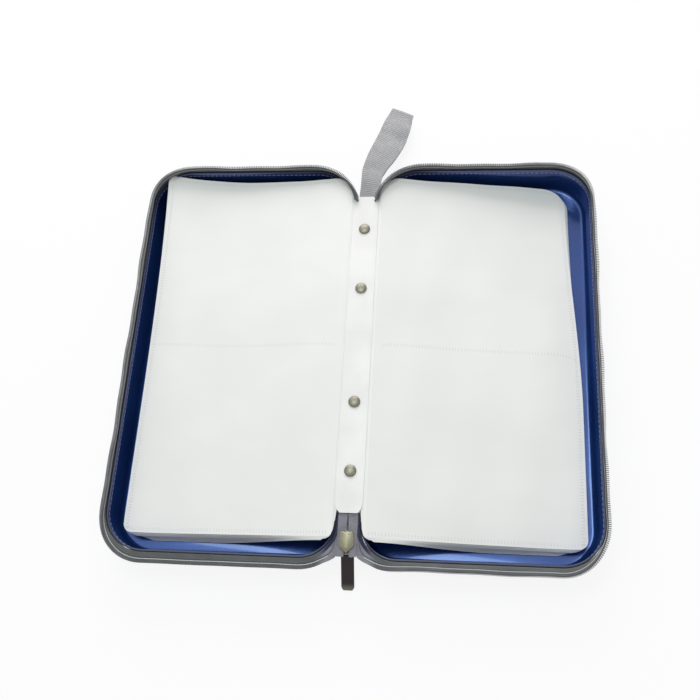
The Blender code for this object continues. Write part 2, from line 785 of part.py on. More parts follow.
def make_loop(group, mat, parent):
    bm = bmesh.new()
    rows = []
    gap = LOOP_THICKNESS / 2 + SEAT / 2
    steps = 26
    path = []
    for i in range(steps + 1):
        t = i / steps * 0.96
        path.append((t, gap + (LOOP_TURN - gap) * smooth((t - 0.6) / 0.34)))
    for i in range(1, 7):
        turn = pi * i / 6
        path.append((0.96 + 0.96 * LOOP_TURN / LOOP_LENGTH * sin(turn) * 1.1, LOOP_TURN * cos(turn)))
    for i in range(steps - 1, -1, -1):
        t = i / steps * 0.96
        path.append((t, -(gap + (LOOP_TURN - gap) * smooth((t - 0.6) / 0.34))))
    for t, lift in path:
        along, across, up = loop_frame(min(t, 1))
        centre = loop_line(t) + up * lift
        half = mix(LOOP_BASE_WIDTH, LOOP_WIDTH, smooth((t - 0.22) / 0.2)) / 2
        rows.append([bm.verts.new(centre + across * half * s) for s in (-1, -0.5, 0, 0.5, 1)])
    for row, following in zip(rows, rows[1:]):
        for i in range(4):
            bm.faces.new((row[i], row[i + 1], following[i + 1], following[i]))
    item = finish(bm, "carry_loop", group, mat, parent)
    webbing = item.modifiers.new("webbing", "SOLIDIFY")
    webbing.thickness = LOOP_THICKNESS
    webbing.offset = 0
    webbing.use_even_offset = True
    return item


def centre_on_origin(root):
    """Stand the whole case with the middle of its footprint on the origin."""
    bpy.context.view_layer.update()
    graph = bpy.context.evaluated_depsgraph_get()
    low = Vector((1, 1, 1))
    high = Vector((-1, -1, -1))
    for item in bpy.data.objects:
        if item.type == "EMPTY" or item.hide_render:
            continue
        evaluated = item.evaluated_get(graph)
        mesh = evaluated.to_mesh()
        for vertex in mesh.vertices:
            place = item.matrix_world @ vertex.co
            low = Vector(map(min, low, place))
            high = Vector(map(max, high, place))
        evaluated.to_mesh_clear()
    root.location = Vector((-(low.x + high.x) / 2, -(low.y + high.y) / 2, -low.z))


def main():
    clear_scene()
    group = collection("cd_storage_case")
    cutters = collection("cutters")
    blue = material("blue_plastic", (0.03, 0.045, 0.17), 0.14)
    grey = material("zip_tape_cloth", (0.14, 0.15, 0.16), 0.9)
    coil = material("zip_coil_nylon", (0.16, 0.17, 0.18), 0.35)
    spine_grey = material("spine_cloth_grey", (0.12, 0.125, 0.135), 0.92)
    white = material("sleeve_film", (0.8, 0.81, 0.79), 0.45)
    strip_white = material("binding_strip_white", (0.84, 0.85, 0.84), 0.5)
    nickel = material("rivet_nickel", (0.62, 0.61, 0.58), 0.25, 1.0)
    slider_metal = material("slider_satin_metal", (0.66, 0.63, 0.55), 0.3, 1.0)
    tab_metal = material("pull_tab_dark", (0.035, 0.028, 0.03), 0.35, 0.6)
    strap = material("strap_webbing", (0.4, 0.4, 0.42), 0.9)

    root = empty("case", group, None, (0, 0, 0))
    spine = empty("spine_axis", group, root, (HINGE_X, 0, RIM_Z))
    left = empty("left_axis", group, spine, (-HINGE_X, 0, RIM_Z))

    for side, carrier in (("right", root), ("left", left)):
        make_tray(side, group, blue, carrier)
        make_tape(side, group, grey, carrier)
        make_coil(side, group, coil, carrier)
        make_hem(side, group, spine_grey, carrier)
        make_sleeves(side, group, white, carrier)

    cloth = make_spine_cloth(group, spine_grey, spine)
    strip_low, binding_low, cloth_low = spine_layers()
    between = HINGE_X - SEAT
    over = STRIP_WIDTH / 2
    binding = slab("sleeve_binding", between, binding_low, BINDING_THICKNESS, group, white, spine)
    strip = slab("binding_strip", over, strip_low, STRIP_THICKNESS, group, strip_white, spine)
    strip_top = strip_low + STRIP_THICKNESS
    for item in (cloth, binding, strip):
        for number, y in enumerate(rivet_places(), 1):
            hole = cylinder((0, y), RIVET_POST + SEAT, cloth_low - SEAT, strip_top + SEAT)
            cut(item, hole, f"{item.name}_hole_{number}", cutters)
    make_rivets(group, nickel, spine)
    make_loop(group, strap, spine)

    make_start_tape(group, grey, spine)
    make_start_coils(group, coil, spine)
    make_end_stop(group, coil, spine)

    centre_y = -(CORNER_Y + SLIDER_FROM_SPINE + SLIDER_LENGTH / 2)
    carriage = empty("slider_carriage", group, spine, (0, centre_y, RIM_Z))
    make_slider(group, cutters, slider_metal, carriage, centre_y)
    make_tab(group, cutters, tab_metal, carriage, (0, centre_y, pivot_height()))

    centre_on_origin(root)


main()
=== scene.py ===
# %% [markdown]
# # An open zip-round disc case
#
# The case lies open on a pale table: two glossy blue moulded trays joined by a cloth
# spine, a grey zip round both rims, a stack of white film sleeves held by a strip and
# four rivets, and a folded webbing loop. The measured solids come first, as a fixed
# frame. Every piece made below takes its place from them, so nothing has to be fitted
# by eye. Most pieces are hung on the solid that carries them and move with it; the
# sleeves, their welded ticks and the spine cloths stay where they are made.

from math import asin, cos, hypot, pi, radians, sin, sqrt

import bmesh
import bpy
import numpy as np
from mathutils import Matrix, Vector


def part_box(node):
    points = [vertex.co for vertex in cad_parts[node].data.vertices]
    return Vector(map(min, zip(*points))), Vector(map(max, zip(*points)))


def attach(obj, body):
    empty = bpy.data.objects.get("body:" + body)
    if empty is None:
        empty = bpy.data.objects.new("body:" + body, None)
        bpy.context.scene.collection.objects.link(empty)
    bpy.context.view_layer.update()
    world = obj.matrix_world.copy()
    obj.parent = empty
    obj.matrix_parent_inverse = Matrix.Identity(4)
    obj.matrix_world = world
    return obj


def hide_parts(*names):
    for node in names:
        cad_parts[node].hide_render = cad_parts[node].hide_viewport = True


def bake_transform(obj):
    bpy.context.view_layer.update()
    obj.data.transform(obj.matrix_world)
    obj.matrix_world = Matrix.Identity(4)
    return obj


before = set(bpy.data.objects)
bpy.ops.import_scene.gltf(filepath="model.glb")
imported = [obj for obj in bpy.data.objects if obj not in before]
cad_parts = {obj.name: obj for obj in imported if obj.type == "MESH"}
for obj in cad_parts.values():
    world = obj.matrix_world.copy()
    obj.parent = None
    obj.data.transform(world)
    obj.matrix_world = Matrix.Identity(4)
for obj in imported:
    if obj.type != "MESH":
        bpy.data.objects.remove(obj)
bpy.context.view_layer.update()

# %% [markdown]
# The right tray's box gives the rim height, the fold line and the middle of the case.
# All other sizes are those of the real object, in metres, and each is written once.

# %% Sizes that several pieces share
tray_low, tray_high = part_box("right_shell")
HINGE_X = tray_low.x
OUTER_X = tray_high.x
RIM_Z = tray_high.z
MIDDLE_Y = (tray_low.y + tray_high.y) / 2
HALF_LENGTH = (tray_high.y - tray_low.y) / 2
WALL = 0.0013
NEAR_RADIUS = 0.0235
FAR_RADIUS = 0.031
OUTER_RADIUS = 0.028
NEAR_Y = HALF_LENGTH - NEAR_RADIUS
SPINE_END = HALF_LENGTH - FAR_RADIUS
TAPE = 0.0008
COIL = 0.0011
print(f"rim {OUTER_X - HINGE_X:.3f} x {2 * HALF_LENGTH:.3f} m at {RIM_Z:.3f} m, fold at {HINGE_X:.4f}")


def at(x, y, z):
    """A point of the case, with y counted from the middle of the trays."""
    return Vector((x, y + MIDDLE_Y, z))


FLIP = {"right": 1, "left": -1}


def on_side(p, flip):
    """A point or direction of the right half, or its mirror image in the left half."""
    return Vector((p.x * flip, p.y, p.z))


def ease(t):
    t = min(1.0, max(0.0, t))
    return t * t * (3 - 2 * t)


def between(a, b, t):
    return a + (b - a) * t


# %% [markdown]
# ## Writing materials as sums
#
# A procedural material is a small calculation for each point of a surface. In the node
# editor that is a web of Math nodes, which is slow to build and hard to read. Here a
# socket is wrapped in a class that knows plus, minus and times, so that the same web is
# written as a line of Python.

# %% A socket that can be used in sums
class Wire:
    def __init__(self, finish, socket):
        self.finish = finish
        self.socket = socket

    def maths(self, operation, *values):
        return self.finish.node("Math", {"operation": operation}, values)

    def __add__(self, other):
        return self.maths("ADD", self, other)

    __radd__ = __add__

    def __sub__(self, other):
        return self.maths("SUBTRACT", self, other)

    def __rsub__(self, other):
        return self.maths("SUBTRACT", other, self)

    def __mul__(self, other):
        return self.maths("MULTIPLY", self, other)

    __rmul__ = __mul__

    def __abs__(self):
        return self.maths("ABSOLUTE", self)

    def wave(self, length, phase=0.0):
        """A sine of the given wavelength, from -1 to 1."""
        return self.maths("SINE", self * (2 * pi / length) + phase)

    def step(self, low, high):
        """0 below low, 1 above high, smooth between."""
        settings = {"interpolation_type": "SMOOTHSTEP", "clamp": True}
        return self.finish.node("MapRange", settings, [self, low, high, 0.0, 1.0])


class Finish:
    """One material. Its constants sit on the shader, and what varies is wired in."""

    def __init__(self, name, colour, roughness, metallic=0.0, **constants):
        self.material = bpy.data.materials.new(name)
        self.material.use_nodes = True
        self.tree = self.material.node_tree
        self.shader = self.tree.nodes["Principled BSDF"]
        self.set("Base Color", (*colour, 1.0))
        self.set("Roughness", roughness)
        self.set("Metallic", metallic)
        for socket, value in constants.items():
            self.set(socket.replace("_", " "), value)

    def connect(self, socket, value):
        if isinstance(value, Wire):
            self.tree.links.new(value.socket, socket)
        else:
            socket.default_value = value

    def set(self, socket, value):
        self.connect(self.shader.inputs[socket], value)

    def node(self, kind, settings=None, values=(), output=0):
        """Adds any node: first its settings, then the values or wires of its sockets."""
        made = self.tree.nodes.new("ShaderNode" + kind)
        for setting, value in (settings or {}).items():
            setattr(made, setting, value)
        places = values.items() if isinstance(values, dict) else enumerate(values)
        for place, value in places:
            self.connect(made.inputs[place], value)
        return Wire(self, made.outputs[output])

    def place(self):
        """The x, y and z of the point, in metres."""
        spot = self.node("TexCoord", output="Object")
        return [self.node("SeparateXYZ", {}, [spot], output=axis) for axis in "XYZ"]

    def laid(self):
        """Metres along and across a strip, from the strip's own map."""
        spot = self.node("UVMap", {"uv_map": "laid"}, output="UV")
        return [self.node("SeparateXYZ", {}, [spot], output=axis) for axis in "XY"]

    def noise(self, size, detail=2.0, rough=0.5, stretch=(1, 1, 1)):
        spot = self.node("TexCoord", output="Object")
        spot = self.node("Mapping", {}, {0: spot, 3: stretch})
        values = {"Vector": spot, "Scale": 1 / size, "Detail": detail, "Roughness": rough}
        return self.node("TexNoise", {}, values)

    def blend(self, share, first, second):
        """Two colours, mixed by a share that changes over the surface."""
        colours = [c if isinstance(c, Wire) else (*c, 1.0) for c in (first, second)]
        values = {0: share, 6: colours[0], 7: colours[1]}
        return self.node("Mix", {"data_type": "RGBA"}, values, output=2)

    def relief(self, height, depth):
        """Bumps the surface, where height goes from 0 to 1 and depth is in metres."""
        values = {"Height": height, "Distance": depth, "Strength": 1.0}
        self.set("Normal", self.node("Bump", {}, values))


# %% [markdown]
# ## Blue plastic
#
# The trays are moulded in a deep blue plastic with a little metal flake under a clear
# glossy skin. A half metallic shader gives the flake's depth of colour, and a coat gives
# the sharp highlight. Moulded gloss is never perfectly flat, so a very weak, wide noise
# bends the reflections, and fine scuffs on the table side make it a little duller there.

# %% Blue plastic
blue = Finish("blue_moulded_plastic", (0.018, 0.063, 0.255), 0.24, 0.5)
blue.set("Coat Roughness", 0.05)
x, _, z = blue.place()
flake = blue.noise(0.0006, 1.0)
cloud = blue.noise(0.05, 2.0)
deep = blue.blend(cloud.step(0.35, 0.7), (0.015, 0.053, 0.225), (0.021, 0.07, 0.28))
deep = blue.blend(flake.step(0.55, 0.8) * 0.35, deep, (0.045, 0.13, 0.32))
# Painted light on the rim's edge: a paler colour paints the highlight along its rounded top, and navy
# beside the spine paints the shade of the notch.
rim = z.step(RIM_Z - 0.0005, RIM_Z - 0.0001)
beside_spine = 1 - abs(x).step(0.014, 0.024)
edge = blue.blend(beside_spine, (0.055, 0.06, 0.095), (0.012, 0.015, 0.04))
# Painted highlight: a paler band on the upright wall just under the rim, away from the spine.
painted_highlight_band = z.step(RIM_Z - 0.006, RIM_Z - 0.001) * (1 - beside_spine)
deep = blue.blend(painted_highlight_band * 0.85, deep, (0.1, 0.12, 0.28))
blue.set("Base Color", blue.blend(rim, deep, edge))
scuffs = blue.noise(0.0012, 3.0, 0.6, (1, 6, 1)).step(0.55, 0.75)
underside = 1 - z.step(0.0005, 0.006)
blue.set("Roughness", 0.2 + scuffs * underside * 0.2 + flake * 0.05 + rim * 0.25)
blue.set("Coat Weight", 0.55 - underside * scuffs * 0.3 - rim * 0.5)
blue.relief(cloud * 0.8 + flake * 0.02, 0.00025)

# %% [markdown]
# ## Cloths of the zip, the spine and the loop
#
# Zip tape is woven in fine ribs that run along the tape, with a slightly darker line of
# painted shade in the furrow where the stitches pull it in. The spine is a plain cloth,
# and the loop is a webbing with a twill line. All three are drawn in metres along and
# across the strip, so the weave bends with the strip and has the same size everywhere.

# %% Cloths
def woven(name, colour, shade, rib, pick, roughness=0.85, twill=0.0, sheen=0.25, strong=0.28):
    """A cloth with ribs along the strip and picks across it."""
    made = Finish(name, colour, roughness)
    made.set("Sheen Weight", sheen)
    made.set("Sheen Roughness", 0.5)
    along, across = made.laid()
    slant = along + across * twill
    threads = across.wave(rib) * slant.wave(pick)
    worn = made.noise(0.012, 3.0)
    mottle = made.noise(0.0009, 2.0)
    share = threads * strong + (worn - 0.5) * 0.9 + (mottle - 0.5) * 0.7 + 0.45
    made.colour = made.blend(share.step(0.0, 1.0), shade, colour)
    made.share = share.step(0.0, 1.0)
    made.set("Base Color", made.colour)
    made.set("Roughness", roughness + worn * 0.1)
    made.relief(threads * 0.5 + mottle * 0.35 + 0.3, rib * 0.3)
    return made


tape_cloth = woven("zip_tape_weave", (0.13, 0.139, 0.145), (0.062, 0.069, 0.07), 0.0008, 0.0007)
start_cloth = woven("zip_start_weave", (0.36, 0.36, 0.41), (0.17, 0.17, 0.2), 0.0009, 0.0011)
spine_weave = woven("spine_cloth_weave", (0.15, 0.155, 0.17), (0.08, 0.083, 0.09), 0.0007, 0.0007)
webbing = woven(
    "webbing_weave", (0.63, 0.63, 0.65), (0.31, 0.31, 0.33), 0.0017, 0.0016,
    roughness=0.8, twill=1.0, sheen=0.4, strong=0.55,
)

# %% [markdown]
# The tape changes twice over its width and length. A darker furrow of painted shade runs
# beside the line where the coil is sewn on. Beside the spine's near end the cloth is the
# paler one, and between it and the tray a navy patch is painted shade in the notch.

# %% Painted shade in the furrow and the notch, and the pale end of the tape
across = tape_cloth.laid()[1]
x, y, _ = tape_cloth.place()
# Painted shade: the furrow beside the line where the coil is sewn on is darkened.
furrow_painted_shade = across.step(0.0112, 0.0116) * (1 - across.step(0.0119, 0.0122))
out_x = abs(x) - (HINGE_X + NEAR_RADIUS)
out_y = y.maths("MAXIMUM", MIDDLE_Y - NEAR_Y - y, 0.0)
from_corner = y.maths("SQRT", out_x * out_x + out_y * out_y)
beside_spine = (1 - abs(x).step(0.012, 0.02)) * (1 - (y - MIDDLE_Y).step(-0.105, -0.1))
# Painted shade: a navy patch where the notch beside the spine's near end lies in shade.
shadowed = (1 - from_corner.step(NEAR_RADIUS + 0.0026, NEAR_RADIUS + 0.0032)) * beside_spine
pale = tape_cloth.blend(tape_cloth.share, (0.17, 0.17, 0.2), (0.36, 0.36, 0.41))
colour = tape_cloth.blend(beside_spine, tape_cloth.colour, pale)
colour = tape_cloth.blend(shadowed, colour, (0.013, 0.016, 0.06))
tape_cloth.set("Base Color", tape_cloth.blend(furrow_painted_shade * 0.7, colour, (0.035, 0.038, 0.045)))

# %% [markdown]
# ## Film, nylon, thread and metal
#
# The sleeves are thin milky film, smooth but not mirror-like, with soft wrinkles where
# they have been turned. The coil is a clear grey nylon. The rivets are nickel, the slider
# is a warm satin metal, and the pull tab is nearly black, with bare metal on its edges.

# %% Film
film = Finish("sleeve_film", (0.84, 0.845, 0.835), 0.34)
film.set("Sheen Weight", 0.1)
film.set("Specular IOR Level", 0.3)
soft = film.noise(0.07, 2.0, 0.5, (1, 1.6, 1))
grain = film.noise(0.0016, 3.0)
crease = film.noise(0.022, 3.0, 0.55, (1.0, 0.35, 1.0))
film.set("Base Color", film.blend(soft.step(0.3, 0.75), (0.84, 0.843, 0.83), (0.88, 0.883, 0.868)))
film.set("Roughness", 0.32 + grain * 0.16)
film.relief(crease * 0.7 + grain * 0.08, 0.0003)

weld = Finish("welded_seam", (0.75, 0.755, 0.77), 0.3)
weld.relief(weld.noise(0.0008, 2.0), 0.0001)

strip_film = Finish("binding_strip_film", (0.86, 0.86, 0.85), 0.42)
y = strip_film.place()[1]
press = strip_film.noise(0.0011, 2.0)
strip_film.set("Roughness", 0.36 + press * 0.14)
strip_film.set(
    "Base Color",
    strip_film.blend(strip_film.noise(0.03).step(0.3, 0.7), (0.8, 0.8, 0.8), (0.88, 0.88, 0.87)),
)
strip_film.relief(press * 0.4 + y.wave(0.0016) * 0.1, 0.00015)

# %% Nylon and thread
nylon = Finish("coil_nylon", (0.16, 0.165, 0.18), 0.35)
nylon.set("Coat Weight", 0.15)
nylon.set("Coat Roughness", 0.2)
tint = nylon.noise(0.004, 1.0)
nylon.set("Base Color", nylon.blend(tint.step(0.3, 0.7), (0.13, 0.135, 0.15), (0.22, 0.225, 0.25)))

def yarn(name, shade, colour):
    made = Finish(name, colour, 0.6)
    made.set("Sheen Weight", 0.3)
    twist = made.noise(0.0004, 2.0)
    made.set("Base Color", made.blend(twist, shade, colour))
    made.relief(twist, 0.0001)
    return made


thread = yarn("sewing_thread", (0.17, 0.19, 0.28), (0.34, 0.37, 0.48))
chain_thread = yarn("chain_stitch_thread", (0.5, 0.51, 0.53), (0.72, 0.73, 0.75))


# %% Metals
def metal(name, colour, bare, roughness, brush, metallic=1.0):
    """A metal with brushed lines and wear, brighter where noise says that it is rubbed."""
    made = Finish(name, colour, roughness, metallic)
    lines = made.noise(0.0006, 3.0, 0.6, brush)
    rubbed = made.noise(0.0025, 3.0).step(0.5, 0.72)
    made.set("Base Color", made.blend(rubbed, colour, bare))
    made.set("Roughness", roughness + lines * 0.14)
    made.relief(lines, 0.00004)
    return made


nickel = metal("rivet_nickel", (0.2, 0.19, 0.15), (0.25, 0.24, 0.19), 0.32, (1, 1, 1))
satin = metal("slider_satin", (0.215, 0.205, 0.145), (0.27, 0.26, 0.195), 0.3, (1, 8, 1))
dark = metal("pull_tab_dark", (0.03, 0.024, 0.026), (0.045, 0.038, 0.038), 0.3, (6, 1, 1), 0.8)
z = dark.place()[2]
tip = 1 - z.step(0.0025, 0.005)
dark.set("Base Color", dark.blend(tip, (0.032, 0.025, 0.028), (0.13, 0.125, 0.1)))
print(len(bpy.data.materials), "materials")

# %% [markdown]
# ## Helpers for modelling with Blender's own tools
#
# The operators act on whatever is selected, so each piece starts with nothing selected.
# Faces, edges and corners are then chosen by where they are. A finished piece keeps its
# place in its mesh and its object at the origin, as the solids of the frame do.

# %% Selecting, finishing and copying
def deselect():
    if bpy.context.object and bpy.context.object.mode != "OBJECT":
        bpy.ops.object.mode_set(mode="OBJECT")
    bpy.ops.object.select_all(action="DESELECT")


def take(item):
    deselect()
    item.select_set(True)
    bpy.context.view_layer.objects.active = item


def named(name):
    """Names the new active object and puts its place into its mesh."""
    item = bpy.context.object
    item.name = name
    item.data.name = name
    bpy.ops.object.transform_apply(location=True, rotation=True, scale=True)
    return item


def choose(item, kind, test):
    """In edit mode, selects the verts, edges or faces for which the test holds."""
    bpy.ops.mesh.select_mode(type=kind)
    bpy.ops.mesh.select_all(action="DESELECT")
    mesh = bmesh.from_edit_mesh(item.data)
    parts = {"VERT": mesh.verts, "EDGE": mesh.edges, "FACE": mesh.faces}[kind]
    count = 0
    for part in parts:
        if test(part):
            part.select_set(True)
            count += 1
    mesh.select_flush_mode()
    bmesh.update_edit_mesh(item.data)
    return count


def apply_modifier(item, kind, **settings):
    take(item)
    made = item.modifiers.new(kind.lower(), kind)
    for setting, value in settings.items():
        setattr(made, setting, value)
    bpy.ops.object.modifier_apply(modifier=made.name)


def soften(item, width, degrees):
    """Rounds every edge that is sharper than an angle."""
    apply_modifier(
        item, "BEVEL", width=width, segments=2, limit_method="ANGLE", angle_limit=radians(degrees),
    )


def clothe(item, finish, smooth=35):
    """Gives a piece its material and smooth shading."""
    item.data.materials.clear()
    item.data.materials.append(finish.material)
    take(item)
    bpy.ops.object.shade_smooth_by_angle(angle=radians(smooth))
    return item


def placed(name, data):
    """A new object in the scene, from a mesh, a lamp or a camera."""
    item = bpy.data.objects.new(name, data)
    bpy.context.scene.collection.objects.link(item)
    return item


def object_from(name, verts, faces):
    mesh = bpy.data.meshes.new(name)
    mesh.from_pydata([tuple(v) for v in verts], [], faces)
    return placed(name, mesh)


def repeat(name, template, spots):
    """One mesh with a copy of the template at each spot, a matrix from its frame to ours."""
    points = np.array([(*v.co, 1.0) for v in template.data.vertices])
    faces = [tuple(p.vertices) for p in template.data.polygons]
    verts = []
    rings = []
    for spot in spots:
        start = len(verts)
        verts += [tuple(p) for p in (points @ np.array(spot).T)[:, :3]]
        rings += [tuple(start + i for i in face) for face in faces]
    return object_from(name, verts, rings)


def spot_frame(centre, along, up):
    """A frame whose x runs along a line and whose z is as near to up as it can be."""
    along = along.normalized()
    side = up.cross(along).normalized()
    high = along.cross(side)
    turned = Matrix((along, side, high)).transposed().to_4x4()
    return Matrix.Translation(centre) @ turned


def mirrored(item, name):
    """A copy on the other side of the spine, with its faces turned the right way out."""
    take(item)
    bpy.ops.object.duplicate()
    copy = bpy.context.object
    copy.name = name
    copy.data.name = name
    copy.scale = (-1, 1, 1)
    bpy.ops.object.transform_apply(location=False, rotation=False, scale=True)
    bpy.ops.object.mode_set(mode="EDIT")
    bpy.ops.mesh.select_all(action="SELECT")
    bpy.ops.mesh.flip_normals()
    bpy.ops.object.mode_set(mode="OBJECT")
    return copy


# %% [markdown]
# ## The trays
#
# A tray is a shallow moulding with an upright band under its rim, where the zip is sewn
# on, a slight taper and a wide round into the floor. It could be lofted from rings, but
# by hand it is quicker to start from one rectangle: bevel its four corners, extrude it
# down for the band, then inset and lower the floor again and again to turn the round.
# Solidify gives the wall its thickness, and a tiny bevel catches light on the rim.

# %% A tray from one rectangle
BAND = 0.009
TAPER = 0.0015
FLOOR_ROUND = 0.0045


def make_tray(name):
    deselect()
    bpy.ops.mesh.primitive_plane_add(size=1, location=at((HINGE_X + OUTER_X) / 2, 0, RIM_Z))
    bpy.context.object.scale = (OUTER_X - HINGE_X, 2 * HALF_LENGTH, 1)
    tray = named(name)
    bpy.ops.object.mode_set(mode="EDIT")
    for radius, x, y in ((NEAR_RADIUS, HINGE_X, -HALF_LENGTH), (FAR_RADIUS, HINGE_X, HALF_LENGTH),
                         (OUTER_RADIUS, OUTER_X, -HALF_LENGTH), (OUTER_RADIUS, OUTER_X, HALF_LENGTH)):
        choose(tray, "VERT", lambda v: (v.co - at(x, y, RIM_Z)).length < 1e-5)
        bpy.ops.mesh.bevel(offset=radius, segments=20, affect="VERTICES")
    bpy.ops.mesh.select_all(action="SELECT")
    bpy.ops.mesh.flip_normals()
    bpy.ops.mesh.extrude_region_move(TRANSFORM_OT_translate={"value": (0, 0, -BAND)})
    middle = RIM_Z - BAND - FLOOR_ROUND
    steps = 3
    for step in range(steps):
        bpy.ops.mesh.inset(thickness=TAPER / steps, depth=middle / steps, use_even_offset=True)
    steps = 8
    for step in range(steps):
        turn = [0.5 * pi * (step + i) / steps for i in (0, 1)]
        across = FLOOR_ROUND * (cos(turn[0]) - cos(turn[1]))
        down = FLOOR_ROUND * (sin(turn[1]) - sin(turn[0]))
        bpy.ops.mesh.inset(thickness=across, depth=down, use_even_offset=True)
    bpy.ops.mesh.inset(thickness=0.004, depth=0, use_even_offset=True)
    lid = RIM_Z - 1e-4
    top = choose(tray, "FACE", lambda f: abs(f.normal.z) > 0.99 and f.calc_center_median().z > lid)
    bpy.ops.mesh.delete(type="FACE")
    bpy.ops.mesh.select_all(action="SELECT")
    bpy.ops.mesh.normals_make_consistent(inside=False)
    bpy.ops.object.mode_set(mode="OBJECT")
    floor = max(tray.data.polygons, key=lambda p: p.area)
    print(name, "open faces:", top, "floor at", round(floor.center.z, 4))
    if floor.normal.z > 0:
        tray.data.flip_normals()
    apply_modifier(tray, "SOLIDIFY", thickness=WALL, offset=-1.0, use_even_offset=True)
    soften(tray, 0.0003, 60)
    return clothe(tray, blue, smooth=40)


right_tray = make_tray("right_tray")
left_tray = mirrored(right_tray, "left_tray")
for tray, body in ((right_tray, "right_shell"), (left_tray, "left_shell")):
    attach(tray, body)
    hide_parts(body)
    print(tray.name, len(tray.data.polygons), "faces")

# %% [markdown]
# ## The zip tapes
#
# Each tape is sewn round the outside of its rim and stands up from it. On the near side
# it flares outwards, and beside the spine it lies flat, where the zip begins. A tape is a
# thin woven sheet, so it is made as one: rows of points are laid along the rim, turned to
# the angle that the tape has there, and a map in metres is laid over them for the weave.

# %% The line of the rim
NEAR_LEAN = {"left": radians(76), "right": radians(50)}
SIDE_LEAN = {"left": radians(-15), "right": radians(-12)}
FAR_LEAN = radians(-22)
SLIDER_FROM_SPINE = 0.014
SLIDER_LENGTH = 0.0135
SLIDER_END = SPINE_END + SLIDER_FROM_SPINE + SLIDER_LENGTH
START_END = SLIDER_END + 2 * COIL
START_WIDTH = 0.0114
FREE = 0.0072
OVERLAP = 0.0075
SEAM = 0.0003
FIRST_STATION = 0.0014
FAR_DRAW = 0.0021
START_DROP = 0.00045


def rim_line(side, spacing=0.002):
    """Places along the right rim, each with its outward direction and the tape's lean."""
    near = NEAR_LEAN[side]
    beside = SIDE_LEAN[side]
    flat = asin(min(1, (START_END - NEAR_Y) / (NEAR_RADIUS + FREE)))
    past = 0.0028
    last = pi - asin(past / FAR_RADIUS)
    near_x = HINGE_X + NEAR_RADIUS
    far_x = HINGE_X + FAR_RADIUS
    outer_x = OUTER_X - OUTER_RADIUS
    outer_y = HALF_LENGTH - OUTER_RADIUS
    corners = [
        (near_x, -NEAR_Y, NEAR_RADIUS, pi, pi + flat, pi / 2, pi / 2),
        (near_x, -NEAR_Y, NEAR_RADIUS, pi + flat, 1.5 * pi, pi / 2, near),
        (outer_x, -outer_y, OUTER_RADIUS, 1.5 * pi, 2 * pi, near, beside),
        (outer_x, outer_y, OUTER_RADIUS, 0, 0.5 * pi, beside, FAR_LEAN),
        (far_x, SPINE_END, FAR_RADIUS, 0.5 * pi, last, FAR_LEAN, FAR_LEAN),
    ]
    places = [(at(HINGE_X, -SPINE_END - FIRST_STATION, 0), Vector((-1, 0, 0)), pi / 2)]
    for cx, cy, radius, start, end, lean_from, lean_to in corners:
        out = Vector((cos(start), sin(start), 0))
        first = at(cx, cy, 0) + out * radius
        last_place = places[-1][0]
        gap = first - last_place
        for i in range(1, int(gap.length / spacing)):
            share = i * spacing / gap.length
            places.append((last_place + gap * share, out, lean_from))
        steps = max(4, int(radius * abs(end - start) / spacing))
        for i in range(steps + 1):
            turn = between(start, end, i / steps)
            out = Vector((cos(turn), sin(turn), 0))
            place = at(cx, cy, 0) + out * radius
            if (place - places[-1][0]).length < 1e-5:
                places.pop()
            places.append((place, out, between(lean_from, lean_to, ease(i / steps))))
    return places


def tape_row(place, out, lean, length):
    """Points across the tape, from its foot on the wall to its free edge."""
    up = Vector((0, 0, 1))
    offset = SEAM + TAPE / 2
    wall = place + out * offset
    waver = 0.05 * sin(length * 71) + 0.035 * sin(length * 173 + 1)
    lean = lean + waver * ease(length / 0.05) * min(1, (pi / 2 - lean) * 3)
    bend = wall + up * (RIM_Z + TAPE / 2)
    edge = bend + (out * sin(lean) + up * cos(lean)) * FREE
    y = edge.y - MIDDLE_Y
    if y < -SPINE_END and edge.x < HINGE_X + NEAR_RADIUS:
        inner = START_WIDTH / 2 + 0.0003
        pull = 1 - ease((-y - SLIDER_END) / FREE)
        edge.x = max(inner, between(edge.x, min(edge.x, inner), pull))
        edge.z -= START_DROP * pull
    if y > SPINE_END and edge.x < HINGE_X + FAR_RADIUS:
        drawn_in = FAR_DRAW * (1 - ease((y - SPINE_END - 0.002) / 0.018))
        bend.x -= drawn_in
        edge.x -= drawn_in
    foot = wall + up * (RIM_Z - OVERLAP)
    row = [foot, foot.lerp(bend, 0.5), foot.lerp(bend, 0.85)]
    row += [bend.lerp(edge, share) for share in (0.06, 0.3, 0.55, 0.8, 1.0)]
    return row


# %% [markdown]
# A sheet is laid by one helper. It joins rows of points into faces, and writes a map that
# measures metres along and across the sheet. Solidify then gives the cloth its thickness.

# %% Sheets laid in rows
def sheet_from(name, rows, thickness, side="right", finish=None):
    if side == "left":
        rows = [[on_side(p, -1) for p in row] for row in rows]
    width = len(rows[0])
    verts = [p for row in rows for p in row]
    faces = []
    for i in range(len(rows) - 1):
        for j in range(width - 1):
            a = i * width + j
            ring = (a, a + width, a + width + 1, a + 1)
            faces.append(ring if side == "right" else ring[::-1])
    item = object_from(name, verts, faces)
    along = [0.0]
    for row, following in zip(rows, rows[1:]):
        along.append(along[-1] + (following[width // 2] - row[width // 2]).length)
    across = [0.0]
    middle = rows[len(rows) // 2]
    for p, q in zip(middle, middle[1:]):
        across.append(across[-1] + (q - p).length)
    laid = item.data.uv_layers.new(name="laid")
    for loop in item.data.loops:
        i, j = divmod(loop.vertex_index, width)
        laid.data[loop.index].uv = (along[i], across[j])
    if thickness:
        apply_modifier(item, "SOLIDIFY", thickness=thickness, offset=0.0, use_even_offset=True)
    if finish:
        clothe(item, finish, smooth=50)
    item["flat"] = (across[-1], along[-1])
    return item


